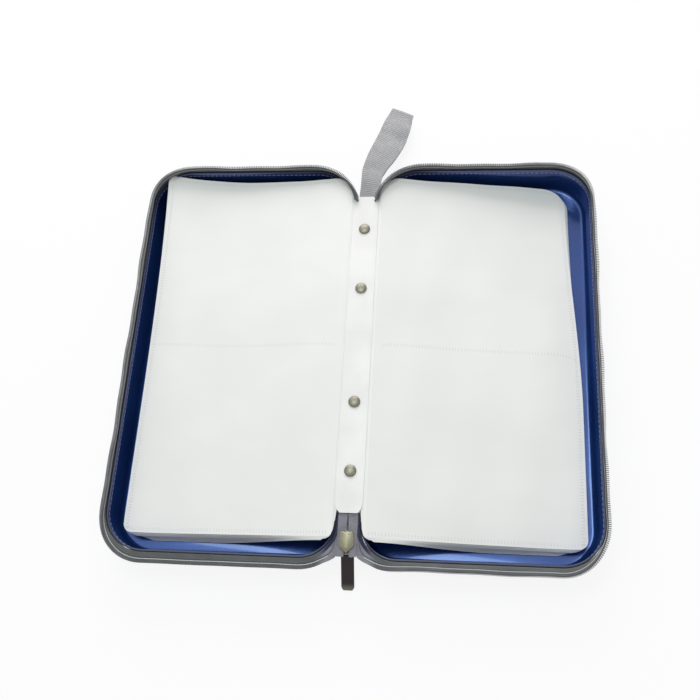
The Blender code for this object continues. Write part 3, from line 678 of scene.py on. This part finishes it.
# %% The tapes
tape_rows = {}
for side in ("right", "left"):
    rows = []
    length = 0.0
    previous = None
    for place, out, lean in rim_line(side):
        if previous is not None:
            length += (place - previous).length
        previous = place
        rows.append(tape_row(place, out, lean, length))
    tape_rows[side] = rows
    tape = sheet_from(f"{side}_tape", rows, TAPE, side, tape_cloth)
    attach(tape, f"{side}_shell")
    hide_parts(f"{side}_zip_tape")
    print(tape.name, "flat", [round(v, 3) for v in tape["flat"]], len(tape.data.polygons), "faces")

# %% [markdown]
# ## The nylon coils
#
# A nylon zip has no separate teeth. Each half is one coiled filament, sewn along the back
# of the tape's edge, and its turns are the teeth. A single turn is modelled as a flattened
# ring, and copied at the zip's pitch along the edge, each copy a little slanted.

# %% One turn of the coil
PITCH = 0.0013
deselect()
bpy.ops.mesh.primitive_torus_add(
    major_radius=0.00068, minor_radius=0.00025, major_segments=12, minor_segments=6,
    rotation=(0, pi / 2, radians(20)),
)
turn_of_coil = named("coil_turn")
take(turn_of_coil)
bpy.ops.object.mode_set(mode="EDIT")
choose(turn_of_coil, "VERT", lambda v: v.co.y > 0.0003)
bpy.ops.transform.resize(value=(1.5, 1.0, 1.2))
bpy.ops.mesh.select_all(action="DESELECT")
bpy.ops.object.mode_set(mode="OBJECT")


def along_line(points, pitch):
    """Evenly spaced places on a line of points, each with the line's direction there."""
    made = []
    reach = 0.0
    walked = 0.0
    for a, b in zip(points, points[1:]):
        length = (b - a).length
        while reach <= walked + length:
            made.append((a.lerp(b, (reach - walked) / length), (b - a).normalized()))
            reach += pitch
        walked += length
    return made


def closest(points, place):
    """The number of the point that lies nearest to a place."""
    return min(range(len(points)), key=lambda i: (points[i] - place).length_squared)


def lay_coil(name, points, backs, body, *nodes):
    """Copies the turn along a line, with its back turned away from the tape."""
    spots = []
    for place, along in along_line(points, PITCH):
        spots.append(spot_frame(place, along, backs[closest(points, place)]))
    coil = repeat(name, turn_of_coil, spots)
    clothe(coil, nylon, smooth=60)
    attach(coil, body)
    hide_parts(*nodes)
    print(name, len(spots), "turns")


for side in ("right", "left"):
    points = []
    backs = []
    flip = FLIP[side]
    for row in tape_rows[side]:
        edge = row[-1]
        lean_line = (row[-1] - row[-2]).normalized()
        y = edge.y - MIDDLE_Y
        if -START_END - COIL < y < -SPINE_END and edge.x < HINGE_X + NEAR_RADIUS:
            continue
        points.append(edge - lean_line * COIL)
        backs.append(lean_line)
    places = [on_side(p, flip) for p in points]
    lines = [(b - a).normalized() for a, b in zip(places, places[1:])]
    lines.append(lines[-1])
    pairs = zip(lines, backs)
    outs = [line.cross(on_side(back, flip)).normalized() * flip for line, back in pairs]
    places = [p + out * (TAPE / 2 + COIL * 0.8) for p, out in zip(places, outs)]
    lay_coil(f"{side}_coil", places, outs, f"{side}_shell", f"{side}_zip_coil")

# %% [markdown]
# ## The start of the zip
#
# Between the spine's end and the slider the two tapes already lie side by side, with the
# meshed coils under them and a narrow dark line between them. This stretch is woven in a
# paler grey than the rest.

# %% Start of the zip
START_LEVEL = RIM_Z + 0.00066
START_TAPE = 0.00046
COIL_LEVEL = RIM_Z - 0.0003 - COIL
COIL_START = SPINE_END + 0.0032


def start_gap(distance):
    """Half of the gap between the tapes, a distance past the spine's end."""
    return between(0.00045, 0.0017, ease((distance - 0.006) / 0.016))


for side, sign in (("right", 1), ("left", -1)):
    rows = []
    for i in range(25):
        y = between(SPINE_END + 0.0006, START_END, i / 24)
        inner = start_gap(y - SPINE_END)
        outer = START_WIDTH / 2 + 0.0006
        rows.append([at(between(inner, outer, j / 4), -y, START_LEVEL) for j in range(5)])
    half = sheet_from(f"start_tape_{side}", rows, START_TAPE, side, start_cloth)
    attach(half, "spine")
    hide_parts("zip_start_tape")
    points = []
    for i in range(25):
        y = between(COIL_START, START_END, i / 24)
        apart = ease((y - SPINE_END - 0.011) / 0.006)
        x = between(0.0006, start_gap(y - SPINE_END) + COIL * 0.9, apart)
        points.append(at(sign * x, -y - 0.0003 * sign, COIL_LEVEL))
    lay_coil(
        f"start_coil_{side}", points, [Vector((0, 0, -1))] * len(points), "spine",
        f"zip_start_coil_{side}",
    )

# %% [markdown]
# Inside the meshed coils runs a flat dark cord, which closes the gap between the tapes.

# %% Cord in the coils
rows = []
for i in range(15):
    y = between(COIL_START, SPINE_END + 0.0132, i / 14)
    rows.append([at(between(-0.0009, 0.0009, j / 4), -y, COIL_LEVEL) for j in range(5)])
cord = sheet_from("start_cord", rows, 0.0003, "right", nylon)
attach(cord, "spine")

# %% [markdown]
# The stop at the end of the coils is a small block of melted nylon. It starts as a cube,
# is pinched at its top, and gets a rounded bevel, because melted plastic has no corners.

# %% End stop of the coils
stop_low, stop_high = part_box("zip_end_stop")
deselect()
bpy.ops.mesh.primitive_cube_add(size=1, location=(stop_low + stop_high) / 2)
bpy.context.object.scale = stop_high - stop_low
stop = named("coil_stop")
bpy.ops.object.mode_set(mode="EDIT")
bpy.ops.mesh.select_all(action="SELECT")
bpy.ops.mesh.subdivide(number_cuts=3)
choose(stop, "VERT", lambda v: v.co.z < stop_low.z + 1e-5)
bpy.ops.transform.resize(value=(0.86, 0.8, 1.0))
bpy.ops.object.mode_set(mode="OBJECT")
apply_modifier(stop, "BEVEL", width=0.0003, segments=2)
clothe(stop, nylon)
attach(stop, "spine")
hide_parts("zip_end_stop")

# %% [markdown]
# ## The film sleeves
#
# Each side holds a stack of double sleeves that runs from under the strip, over the
# tray's rim, and down into the tray, where the lowest lie on the floor. They are cut back
# in a curve beside the spine. A stack of separate thin sheets is used, not one block,
# because the fanned edges on the near side are what one sees first. Every sheet bends
# over the spine: its start lies under the strip and the rest lies in its tray.

# %% The shape of one sleeve
sleeve_low, sleeve_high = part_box("right_sleeves")
FOLD_X = sleeve_low.x
SLEEVE_OUT = sleeve_high.x
SLEEVE_WIDTH = SLEEVE_OUT - FOLD_X
SLEEVE_SHIFT = (sleeve_low.y + sleeve_high.y) / 2 - MIDDLE_Y
SLEEVE_HALF = (sleeve_high.y - sleeve_low.y) / 2
STRIP_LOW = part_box("binding_strip")[0].z
STRIP_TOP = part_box("binding_strip")[1].z
LEAVES = 8
FILM = 0.00022
TOP_CORNER = {"left": 0.006, "right": 0.017}
OUTER_HEIGHT = {"left": 0.0133, "right": 0.0093}
CORNER_CURL = {"left": 0.0125, "right": -0.0012}
FAR_PULL = {"left": 0.0, "right": 0.0075}
TUCKED = 0.0012
TUCK_X = 0.0082
SLEEVE_NEAR = SLEEVE_HALF - SLEEVE_SHIFT
SLEEVE_FAR = SLEEVE_HALF + SLEEVE_SHIFT
print(f"sleeves {SLEEVE_WIDTH:.3f} x {2 * SLEEVE_HALF:.3f} m, fold at {FOLD_X:.4f}")


def sleeve_end(side, share, x, end):
    """How far a sleeve reaches at x: cut back beside the spine, rounded at its outer end."""
    t = max(0.0, x - FOLD_X) / SLEEVE_WIDTH
    if end == "near":
        if x < HINGE_X + 0.0006:
            return SPINE_END - TUCKED
        radius = NEAR_RADIUS - 0.001 - 0.002 * share - 0.002 * ease(t * 12)
        beside = NEAR_Y
        centre_x = HINGE_X + NEAR_RADIUS
        full = SLEEVE_NEAR - 0.0016 + 0.0024 * share
        corner = between(0.006, 0.014, share)
    else:
        radius = FAR_RADIUS - between(0.0002, 0.0032, ease((x - 0.012) / between(0.02, 0.01, share)))
        beside = SPINE_END
        centre_x = HINGE_X + FAR_RADIUS
        full = SLEEVE_FAR - 0.0065 * share ** 2
        if side == "left":
            full += 0.003 * ease((t - 0.4) / 0.6) * (1 - share)
        else:
            full -= 0.0015 * ease((t - 0.7) / 0.3) * (1 - share)
        corner = between(TOP_CORNER[side], 0.014, share)
    back = min(radius, max(0.0, centre_x - x))
    past = min(corner, max(0.0, x - (SLEEVE_OUT - corner)))
    rounded = full - corner + sqrt(corner ** 2 - past ** 2)
    return min(full, beside + sqrt(radius ** 2 - back ** 2), rounded)


def sleeve_point(side, share, x, v):
    """A point of a sleeve. share is 0 for the top one and 1 for the lowest."""
    t = (x - FOLD_X) / SLEEVE_WIDTH
    y = between(-sleeve_end(side, share, x, "near"), sleeve_end(side, share, x, "far"), (1 + v) / 2)
    if t < 0:
        rise = ease((x - TUCK_X) / (FOLD_X - TUCK_X))
        tucked = STRIP_LOW - 0.0002 - 0.0006 * share
        return at(x, y, between(tucked, RIM_Z + 0.0022 - 0.0014 * share, rise))
    top = between(OUTER_HEIGHT[side], RIM_Z + 0.0022, (1 - t) ** 1.7)
    top += CORNER_CURL[side] * t ** 4 * ((1 + v) / 2) ** 4
    ripple = 0.0004 * sin(61 * x + 3 * v) + 0.0002 * sin(140 * x - 4 * v + 2)
    top += ripple * ease(t * 4) * (1 - ease((t - 0.9) * 10))
    low = between(RIM_Z + 0.0008, WALL + 0.0005, ease(t / 0.6))
    inset = 0.0065 * share ** 2
    pull = FAR_PULL[side] * ease((v + 0.3) / 1.3) * t * (1 - share)
    x = FOLD_X + (x - FOLD_X) * (1 - inset / SLEEVE_WIDTH) - pull
    fan = 0.0004 * sin(share * 37 + 1) * t
    return at(x + fan, y + fan, between(top, low, share))


# %% The stacks
def sleeve_columns(corner):
    near = [0.0067, 0.0076, 0.0085, 0.0087, 0.0092, 0.0097, 0.0103, FOLD_X]
    near += [FOLD_X + 0.0008, FOLD_X + 0.0018, FOLD_X + 0.003]
    near += [FOLD_X + 0.003 + 0.0035 * i for i in range(1, 8)]
    first = near[-1]
    last = SLEEVE_OUT - corner
    near += [between(first, last, i / 16) for i in range(1, 17)]
    return near + [SLEEVE_OUT - corner * (1 - sin(0.5 * pi * i / 10)) for i in range(1, 11)]


for side in ("right", "left"):
    for number in range(LEAVES):
        share = number / (LEAVES - 1) * 0.97
        corner = between(TOP_CORNER[side], 0.014, share)
        lines = [-1 + 2 * j / 36 for j in range(37)]
        columns = sleeve_columns(corner)
        rows = [[sleeve_point(side, share, x, v) for x in columns] for v in lines]
        name = f"{side}_sleeve_{number + 1}"
        sleeve = sheet_from(name, rows, FILM, side, film)
        flip = FLIP[side]
        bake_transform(sleeve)
    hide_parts(f"{side}_sleeves")

# %% [markdown]
# The pockets are welded, not sewn: a hot wheel presses a row of short ticks along the
# three outer edges, and another across the middle between the upper and the lower disc.
# One tick is a rounded bar. It is copied across lines drawn on the top sleeve.

# %% Welded ticks
TICK_PITCH = 0.0021
TICK_INSET = 0.0028
deselect()
bpy.ops.mesh.primitive_cube_add(size=1)
bpy.context.object.scale = (0.0005, 0.0021, 0.0002)
tick = named("weld_tick")
apply_modifier(tick, "BEVEL", width=0.0001, segments=1)

for side in ("right", "left"):
    flip = FLIP[side]
    outer = SLEEVE_OUT - TICK_INSET
    edge_v = 1 - TICK_INSET / SLEEVE_HALF
    lines = []
    for v in (-edge_v, edge_v):
        lines.append([(between(FOLD_X + 0.003, outer, i / 60), v) for i in range(61)])
    lines.append([(outer, between(-edge_v, edge_v, i / 90)) for i in range(91)])
    lines.append([(between(FOLD_X + 0.006, outer, i / 60), 0.0) for i in range(61)])
    spots = []
    for line in lines:
        points = [sleeve_point(side, 0, x, v) + Vector((0, 0, 0.00015)) for x, v in line]
        for place, along in along_line(points, TICK_PITCH):
            spots.append(spot_frame(on_side(place, flip), on_side(along, flip), Vector((0, 0, 1))))
    ticks = repeat(f"{side}_weld_ticks", tick, spots)
    clothe(ticks, weld)
    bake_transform(ticks)
    print(ticks.name, len(spots), "ticks")

# %% [markdown]
# ## The strip, the binding and the spine cloth
#
# The strip is a softer, thicker film that clamps the sleeves under the rivets, so it
# dips a little round each rivet. Under it lie the folded middles of the sleeves, and
# under those the spine cloth, whose two hems are sewn down the outside of the trays.

# %% Binding strip
STRIP_NEAR = 0.0047
STRIP_FAR = 0.0043
STRIP_END = 0.0057
STRIP_THICK = 0.00062
strip_low, strip_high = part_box("binding_strip")
rivet_boxes = [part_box(f"rivet_{i}") for i in range(1, 5)]
rivet_ys = [(low.y + high.y) / 2 for low, high in rivet_boxes]
rows = []
for i in range(113):
    y = between(strip_low.y - STRIP_NEAR, strip_high.y + STRIP_FAR, i / 112)
    from_end = min(y - (strip_low.y - STRIP_NEAR), strip_high.y + STRIP_FAR - y)
    taper = 0.005 if y < 0 else 0.004
    half = between(STRIP_END, strip_high.x, min(1, from_end / taper) ** 0.6)
    row = []
    for j in range(15):
        x = between(-half, half, j / 14)
        dip = max(0.0, 1 - min(hypot(x, y - r) for r in rivet_ys) / 0.0075)
        droop = 0.00022 * abs(j / 7 - 1) ** 3
        lift = 0.00016 * sin(y * 130) * sin(j * 0.9 + 1)
        middle = (strip_low.z + strip_high.z) / 2
        row.append(Vector((x, y, middle + 0.00008 - 0.0001 * ease(dip) - droop * 0.1 + lift * 0.4)))
    rows.append(row)
strip = sheet_from("film_strip", rows, STRIP_THICK, "right", strip_film)
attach(strip, "spine")
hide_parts("binding_strip")

# %% Folded middles of the sleeves
binding_low, binding_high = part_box("sleeve_binding")
deselect()
bpy.ops.mesh.primitive_cube_add(size=1)
size = binding_high - binding_low
bpy.context.object.scale = (0.0118, size.y - 0.005, size.z / 7)
layer = named("layer")
apply_modifier(layer, "BEVEL", width=0.00006, segments=1)
spots = []
for number in range(6):
    height = between(binding_low.z, binding_high.z, (number + 0.5) / 6)
    slip = 0.0004 * sin(number * 2.3)
    middle = (binding_low + binding_high) / 2
    narrow = Matrix.Diagonal((1 - 0.006 * abs(number - 2.5), 1 - 0.0015 * (number % 3), 1, 1))
    spots.append(Matrix.Translation((middle.x, middle.y + slip, height)) @ narrow)
binding = repeat("sleeve_middles", layer, spots)
clothe(binding, film)
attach(binding, "spine")
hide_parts("sleeve_binding")

# %% Spine cloth with its hems
cloth_low, cloth_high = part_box("spine_cloth")
hem_low, hem_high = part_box("right_spine_hem")
level = (cloth_low.z + cloth_high.z) / 2
line_x = (hem_low.x + hem_high.x) / 2
across = [(0.00002, level), (0.002, level), (0.004, level), (line_x - 0.0007, level - 0.00003)]
across += [(line_x - 0.0002, level - 0.0002), (line_x, level - 0.0007)]
across += [(line_x, between(level - 0.0007, hem_low.z, i / 5)) for i in range(1, 6)]
for side, flip in (("right", 1), ("left", -1)):
    rows = []
    for i in range(57):
        y = between(cloth_low.y, cloth_high.y, i / 56)
        rows.append([Vector((x, y, z)) for x, z in across])
    cloth = sheet_from(f"{side}_spine_cloth", rows, 0.0009, side, spine_weave)
    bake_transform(cloth)
    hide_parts("spine_cloth", f"{side}_spine_hem")
    print(cloth.name, "flat", [round(v, 3) for v in cloth["flat"]])

# %% [markdown]
# ## Rivets
#
# A rivet's cap is a shallow dome with a narrow flat brim. A sphere is flattened, cut
# level with a bisect, and its open underside gets the brim and the post by inset and
# extrude. The back caps are the same, smaller and upside down.

# %% Rivets
RIVET_RADIUS = 0.004
BACK_RADIUS = 0.0035
POST_RADIUS = 0.0012


def make_rivet(name, place, radius, height, post, up, body, node):
    deselect()
    bpy.ops.mesh.primitive_uv_sphere_add(segments=32, ring_count=16, radius=radius, location=place)
    bpy.context.object.scale = (1, 1, height * 0.8 / radius)
    cap = named(name)
    bpy.ops.object.mode_set(mode="EDIT")
    bpy.ops.mesh.select_all(action="SELECT")
    bpy.ops.mesh.bisect(
        plane_co=place, plane_no=(0, 0, up), use_fill=True, clear_inner=True,
    )
    choose(cap, "FACE", lambda f: f.normal.z * up < -0.9 and len(f.verts) > 8)
    brim = height * 0.2
    bpy.ops.mesh.extrude_region_move(TRANSFORM_OT_translate={"value": (0, 0, -up * brim)})
    bpy.ops.mesh.inset(thickness=radius - POST_RADIUS, depth=0)
    bpy.ops.mesh.extrude_region_move(TRANSFORM_OT_translate={"value": (0, 0, -up * post)})
    bpy.ops.mesh.select_all(action="SELECT")
    bpy.ops.transform.translate(value=(0, 0, up * brim))
    bpy.ops.object.mode_set(mode="OBJECT")
    soften(cap, 0.00012, 50)
    clothe(cap, nickel, smooth=40)
    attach(cap, body)
    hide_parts(node)


for number in range(1, 5):
    low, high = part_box(f"rivet_{number}")
    seat = STRIP_TOP + 0.0002
    place = Vector(((low.x + high.x) / 2, (low.y + high.y) / 2, seat))
    reach = seat - cloth_low.z
    make_rivet(
        f"cap_{number}", place, RIVET_RADIUS, high.z - seat, reach, 1, "spine", f"rivet_{number}",
    )
    low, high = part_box(f"rivet_back_{number}")
    place = Vector(((low.x + high.x) / 2, (low.y + high.y) / 2, cloth_low.z))
    make_rivet(
        f"back_cap_{number}", place, BACK_RADIUS, cloth_low.z - low.z, 0.0002, -1, "spine",
        f"rivet_back_{number}",
    )
print("rivets at y", [round(y, 4) for y in rivet_ys])

# %% [markdown]
# ## The stitches
#
# A single line of thread runs round each tray, a few millimetres below the rim, through
# the wall and the tape. Each stitch is a small spindle of thread that dips in at both
# ends. One is modelled, and copied along the inner wall and along the tape outside.

# %% Stitches
STITCH_PITCH = 0.0034
STITCH_DEPTH = 0.0036
deselect()
bpy.ops.mesh.primitive_uv_sphere_add(segments=8, ring_count=6, radius=1, rotation=(0, pi / 2, 0))
bpy.ops.object.transform_apply(rotation=True)
bpy.context.object.scale = (0.0013, 0.00028, 0.00022)
stitch = named("stitch")

for side in ("right", "left"):
    flip = FLIP[side]
    for where, offset in (("inside", -WALL - 0.00005), ("outside", SEAM + TAPE)):
        points = []
        outs = []
        for place, out, lean in rim_line(side):
            p = place + out * offset
            points.append(Vector((p.x * flip, p.y, RIM_Z - STITCH_DEPTH)))
            outs.append(on_side(out, flip))
        spots = []
        for place, along in along_line(points, STITCH_PITCH):
            out = outs[closest(points, place)]
            spots.append(spot_frame(place, along, out if where == "outside" else -out))
        row = repeat(f"{side}_stitches_{where}", stitch, spots)
        clothe(row, thread, smooth=60)
        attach(row, f"{side}_shell")
        print(row.name, len(spots), "stitches")

# %% [markdown]
# A paler chain stitch holds the coil on the tape. It shows on the tape's inner face as a
# fine bright line of links, two thirds of the way from the rim to the free edge.

# %% Chain stitch
CHAIN_PITCH = 0.0021
for side in ("right", "left"):
    flip = FLIP[side]
    points = []
    faces = []
    for row in tape_rows[side]:
        inward = (row[-1] - row[-4]).normalized()
        p = row[-4].lerp(row[-1], 0.5)
        if -START_END < p.y - MIDDLE_Y < -SPINE_END and p.x < HINGE_X + NEAR_RADIUS:
            continue
        points.append(p)
        faces.append(inward)
    lines = [(b - a).normalized() for a, b in zip(points, points[1:])]
    lines.append(lines[-1])
    ups = [inward.cross(line).normalized() for inward, line in zip(faces, lines)]
    points = [p + up * (TAPE / 2 + 0.00005) for p, up in zip(points, ups)]
    spots = []
    for place, along in along_line(points, CHAIN_PITCH):
        up = on_side(ups[closest(points, place)], flip)
        spots.append(spot_frame(on_side(place, flip), on_side(along, flip), up))
    chain = repeat(f"{side}_chain_stitch", stitch, spots)
    clothe(chain, chain_thread, smooth=60)
    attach(chain, f"{side}_shell")
    print(chain.name, len(spots), "links")

# %% [markdown]
# ## The carry loop
#
# The loop is a length of grey webbing, folded double, that leaves the spine's far end,
# leans to the right and sinks towards the table. Its two layers lie on each other and
# open a little at the fold. It is one strip laid along a line that goes out and back.

# %% Carry loop
LOOP_WIDTH = 0.019
LOOP_BASE = 0.0108
LOOP_LENGTH = 0.096
LOOP_TUCK = 0.012
LOOP_THICK = 0.0011
LOOP_TURN = 0.0016
LOOP_SHEET = 0.00105
LOOP_MIDDLE = 0.0145
LOOP_BULGE = 0.0026
loop_base_z = cloth_low.z - 0.0003 - LOOP_THICK - 0.00015


def loop_line(t):
    bend = min(0.06, max(0.0, t - 0.39))
    x = 0.0065 * max(0.0, t - 0.06) + 0.0295 * (bend ** 2 / 0.12 + max(0.0, t - 0.45))
    y = SPINE_END - LOOP_TUCK + (LOOP_LENGTH + LOOP_TUCK) * t
    z = loop_base_z - 0.0026 * ease(t / 0.1) - 0.0098 * ease((t - 0.3) / 0.7)
    z += 0.0011 * sin(pi * min(1, max(0, (t - 0.76) / 0.13)))
    z += 0.0009 * sin(pi * min(1, max(0, (t - 0.28) / 0.16)))
    return at(x, y, z)


def loop_frame(t):
    along = (loop_line(min(1, t + 0.01)) - loop_line(max(0, t - 0.01))).normalized()
    side = along.cross(Vector((0, 0, 1))).normalized()
    lean = radians(-9) * ease(t / 0.5)
    high = side.cross(along).normalized()
    side = side * cos(lean) + high * sin(lean)
    return along, side, side.cross(along).normalized()


gap = LOOP_THICK / 2 + 0.00015
path = []
for i in range(61):
    t = i / 60 * 0.96
    path.append((t, gap + (LOOP_TURN - gap) * ease((t - 0.6) / 0.34)))
for i in range(1, 12):
    turn = pi * i / 12
    path.append((0.96 + 1.06 * LOOP_TURN / LOOP_LENGTH * sin(turn), LOOP_TURN * cos(turn)))
path += [(t, -lift) for t, lift in reversed(path[:61])]
rows = []
for t, lift in path:
    along, side_line, high = loop_frame(min(t, 1))
    centre = loop_line(t) + high * lift
    width = between(LOOP_BASE, LOOP_MIDDLE, ease((t - 0.1) / 0.13))
    width = between(width, LOOP_WIDTH, ease((t - 0.3) / 0.28))
    half = width / 2 - 0.0009 * ease((t - 0.86) / 0.12)
    bulge = LOOP_BULGE * sin(pi * min(1, max(0, (t - 0.5) / 0.46)))
    row = []
    for j in range(9):
        s = j / 4 - 1
        cup = 0.0004 * (s * s - 0.4) * ease(t / 0.5) * (1 if lift > 0 else 0.6)
        row.append(centre + side_line * (half * s + bulge * (s + 1) / 2) - high * cup)
    rows.append(row)
loop_strap = sheet_from("loop_strap", rows, LOOP_SHEET, "right", webbing)
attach(loop_strap, "spine")
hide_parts("carry_loop")
print("loop flat", [round(v, 3) for v in loop_strap["flat"]])

# %% [markdown]
# ## Slider and pull tab
#
# Both are small castings with the right shape already, so their solids are copied. The
# copy's loose triangles are merged and its flat areas joined, and then a fine bevel
# rounds every edge, because a casting without soft edges never catches the light.

# %% Castings
def cast(name, node, finish, body):
    item = placed(name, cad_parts[node].data.copy())
    take(item)
    bpy.ops.object.mode_set(mode="EDIT")
    bpy.ops.mesh.select_all(action="SELECT")
    bpy.ops.mesh.remove_doubles(threshold=0.00001)
    bpy.ops.mesh.dissolve_limited(angle_limit=radians(1.5))
    bpy.ops.object.mode_set(mode="OBJECT")
    soften(item, 0.00012, 28)
    clothe(item, finish, smooth=30)
    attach(item, body)
    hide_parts(node)
    print(name, len(item.data.polygons), "faces")


cast("slider_casting", "slider_body", satin, "slider")
cast("pull_casting", "pull_tab", dark, "pull_tab")

for scrap in (turn_of_coil, tick, layer, stitch):
    bpy.data.objects.remove(scrap)

# %% [markdown]
# ## Floor, light and camera
#
# The case lies on a plain white surface. The camera sees the floor and the world as
# white, and so do reflections, while the light that falls on the case stays at a level
# at which colours render as they are written. A lamp overhead shows as the bright band
# on the floor of each tray, along the near edge. A larger one behind the case gives soft
# shade. The first is a little cooler than white and the second a little warmer.

# %% Floor
deselect()
bpy.ops.mesh.primitive_plane_add(size=6, location=(0, 0, -0.0001))
floor = bpy.context.object
floor.name = "floor"
paper = Finish("white_floor", (0.93, 0.93, 0.93), 0.9)
kinds = ("Camera", "Glossy", "Transmission")
ray = [paper.node("LightPath", output=f"Is {kind} Ray") for kind in kinds]
seen = ray[0].maths("MAXIMUM", ray[0], ray[1].maths("MAXIMUM", ray[1], ray[2]))
glow = paper.node("Emission", {}, {"Color": (1, 1, 1, 1), "Strength": 1.0})
shaded = Wire(paper, paper.shader.outputs[0])
mixed = paper.node("MixShader", {}, [seen * 0.88, shaded, glow])
paper.tree.links.new(mixed.socket, paper.tree.nodes["Material Output"].inputs["Surface"])
floor.data.materials.append(paper.material)

# %% World and lamps
world = bpy.data.worlds.new("studio")
bpy.context.scene.world = world
world.use_nodes = True
tree = world.node_tree
background = tree.nodes["Background"]
background.inputs["Color"].default_value = (1, 1, 1, 1)
rays = tree.nodes.new("ShaderNodeLightPath")
any_of = rays.outputs["Is Camera Ray"]
for kind in ("Glossy", "Transmission"):
    either = tree.nodes.new("ShaderNodeMath")
    either.operation = "ADD"
    either.use_clamp = True
    tree.links.new(any_of, either.inputs[0])
    tree.links.new(rays.outputs[f"Is {kind} Ray"], either.inputs[1])
    any_of = either.outputs[0]
strength = tree.nodes.new("ShaderNodeMapRange")
strength.inputs["To Min"].default_value = 0.5
strength.inputs["To Max"].default_value = 1.0
tree.links.new(any_of, strength.inputs["Value"])
tree.links.new(strength.outputs["Result"], background.inputs["Strength"])


def lamp(name, place, target, width, length, power, colour):
    data = bpy.data.lights.new(name, "AREA")
    data.shape = "RECTANGLE"
    data.size = width
    data.size_y = length
    data.energy = power
    data.color = colour
    item = placed(name, data)
    item.location = place
    item.rotation_mode = "QUATERNION"
    item.rotation_quaternion = (Vector(target) - Vector(place)).to_track_quat("-Z", "Y")


lamp("overhead", (-0.13, 0.15, 1.3), (0, 0, 0), 0.66, 0.34, 4.1, (0.86, 1.0, 0.95))
lamp("behind", (-0.15, 1.15, 0.7), (0, 0, 0), 1.1, 0.9, 11.5, (1.0, 0.93, 0.93))

# %% Camera
camera = placed("camera", bpy.data.cameras.new("camera"))
looks = Vector((-0.11932, 0.37729, -0.91838)).normalized()
upward = Vector((-0.01309, 0.92431, 0.38142))
rightward = looks.cross(upward).normalized()
upward = rightward.cross(looks)
turned = Matrix((rightward, upward, -looks)).transposed()
camera.rotation_mode = "QUATERNION"
camera.rotation_quaternion = turned.to_quaternion()
camera.location = at(0.0709, -0.2433, 0.6131)
camera.data.lens = 48.19
camera.data.sensor_width = 36
camera.data.clip_start = 0.01
camera.data.dof.use_dof = False
bpy.context.scene.camera = camera
bpy.context.scene.view_settings.view_transform = "Standard"

# %% Update the scene
bpy.context.view_layer.update()
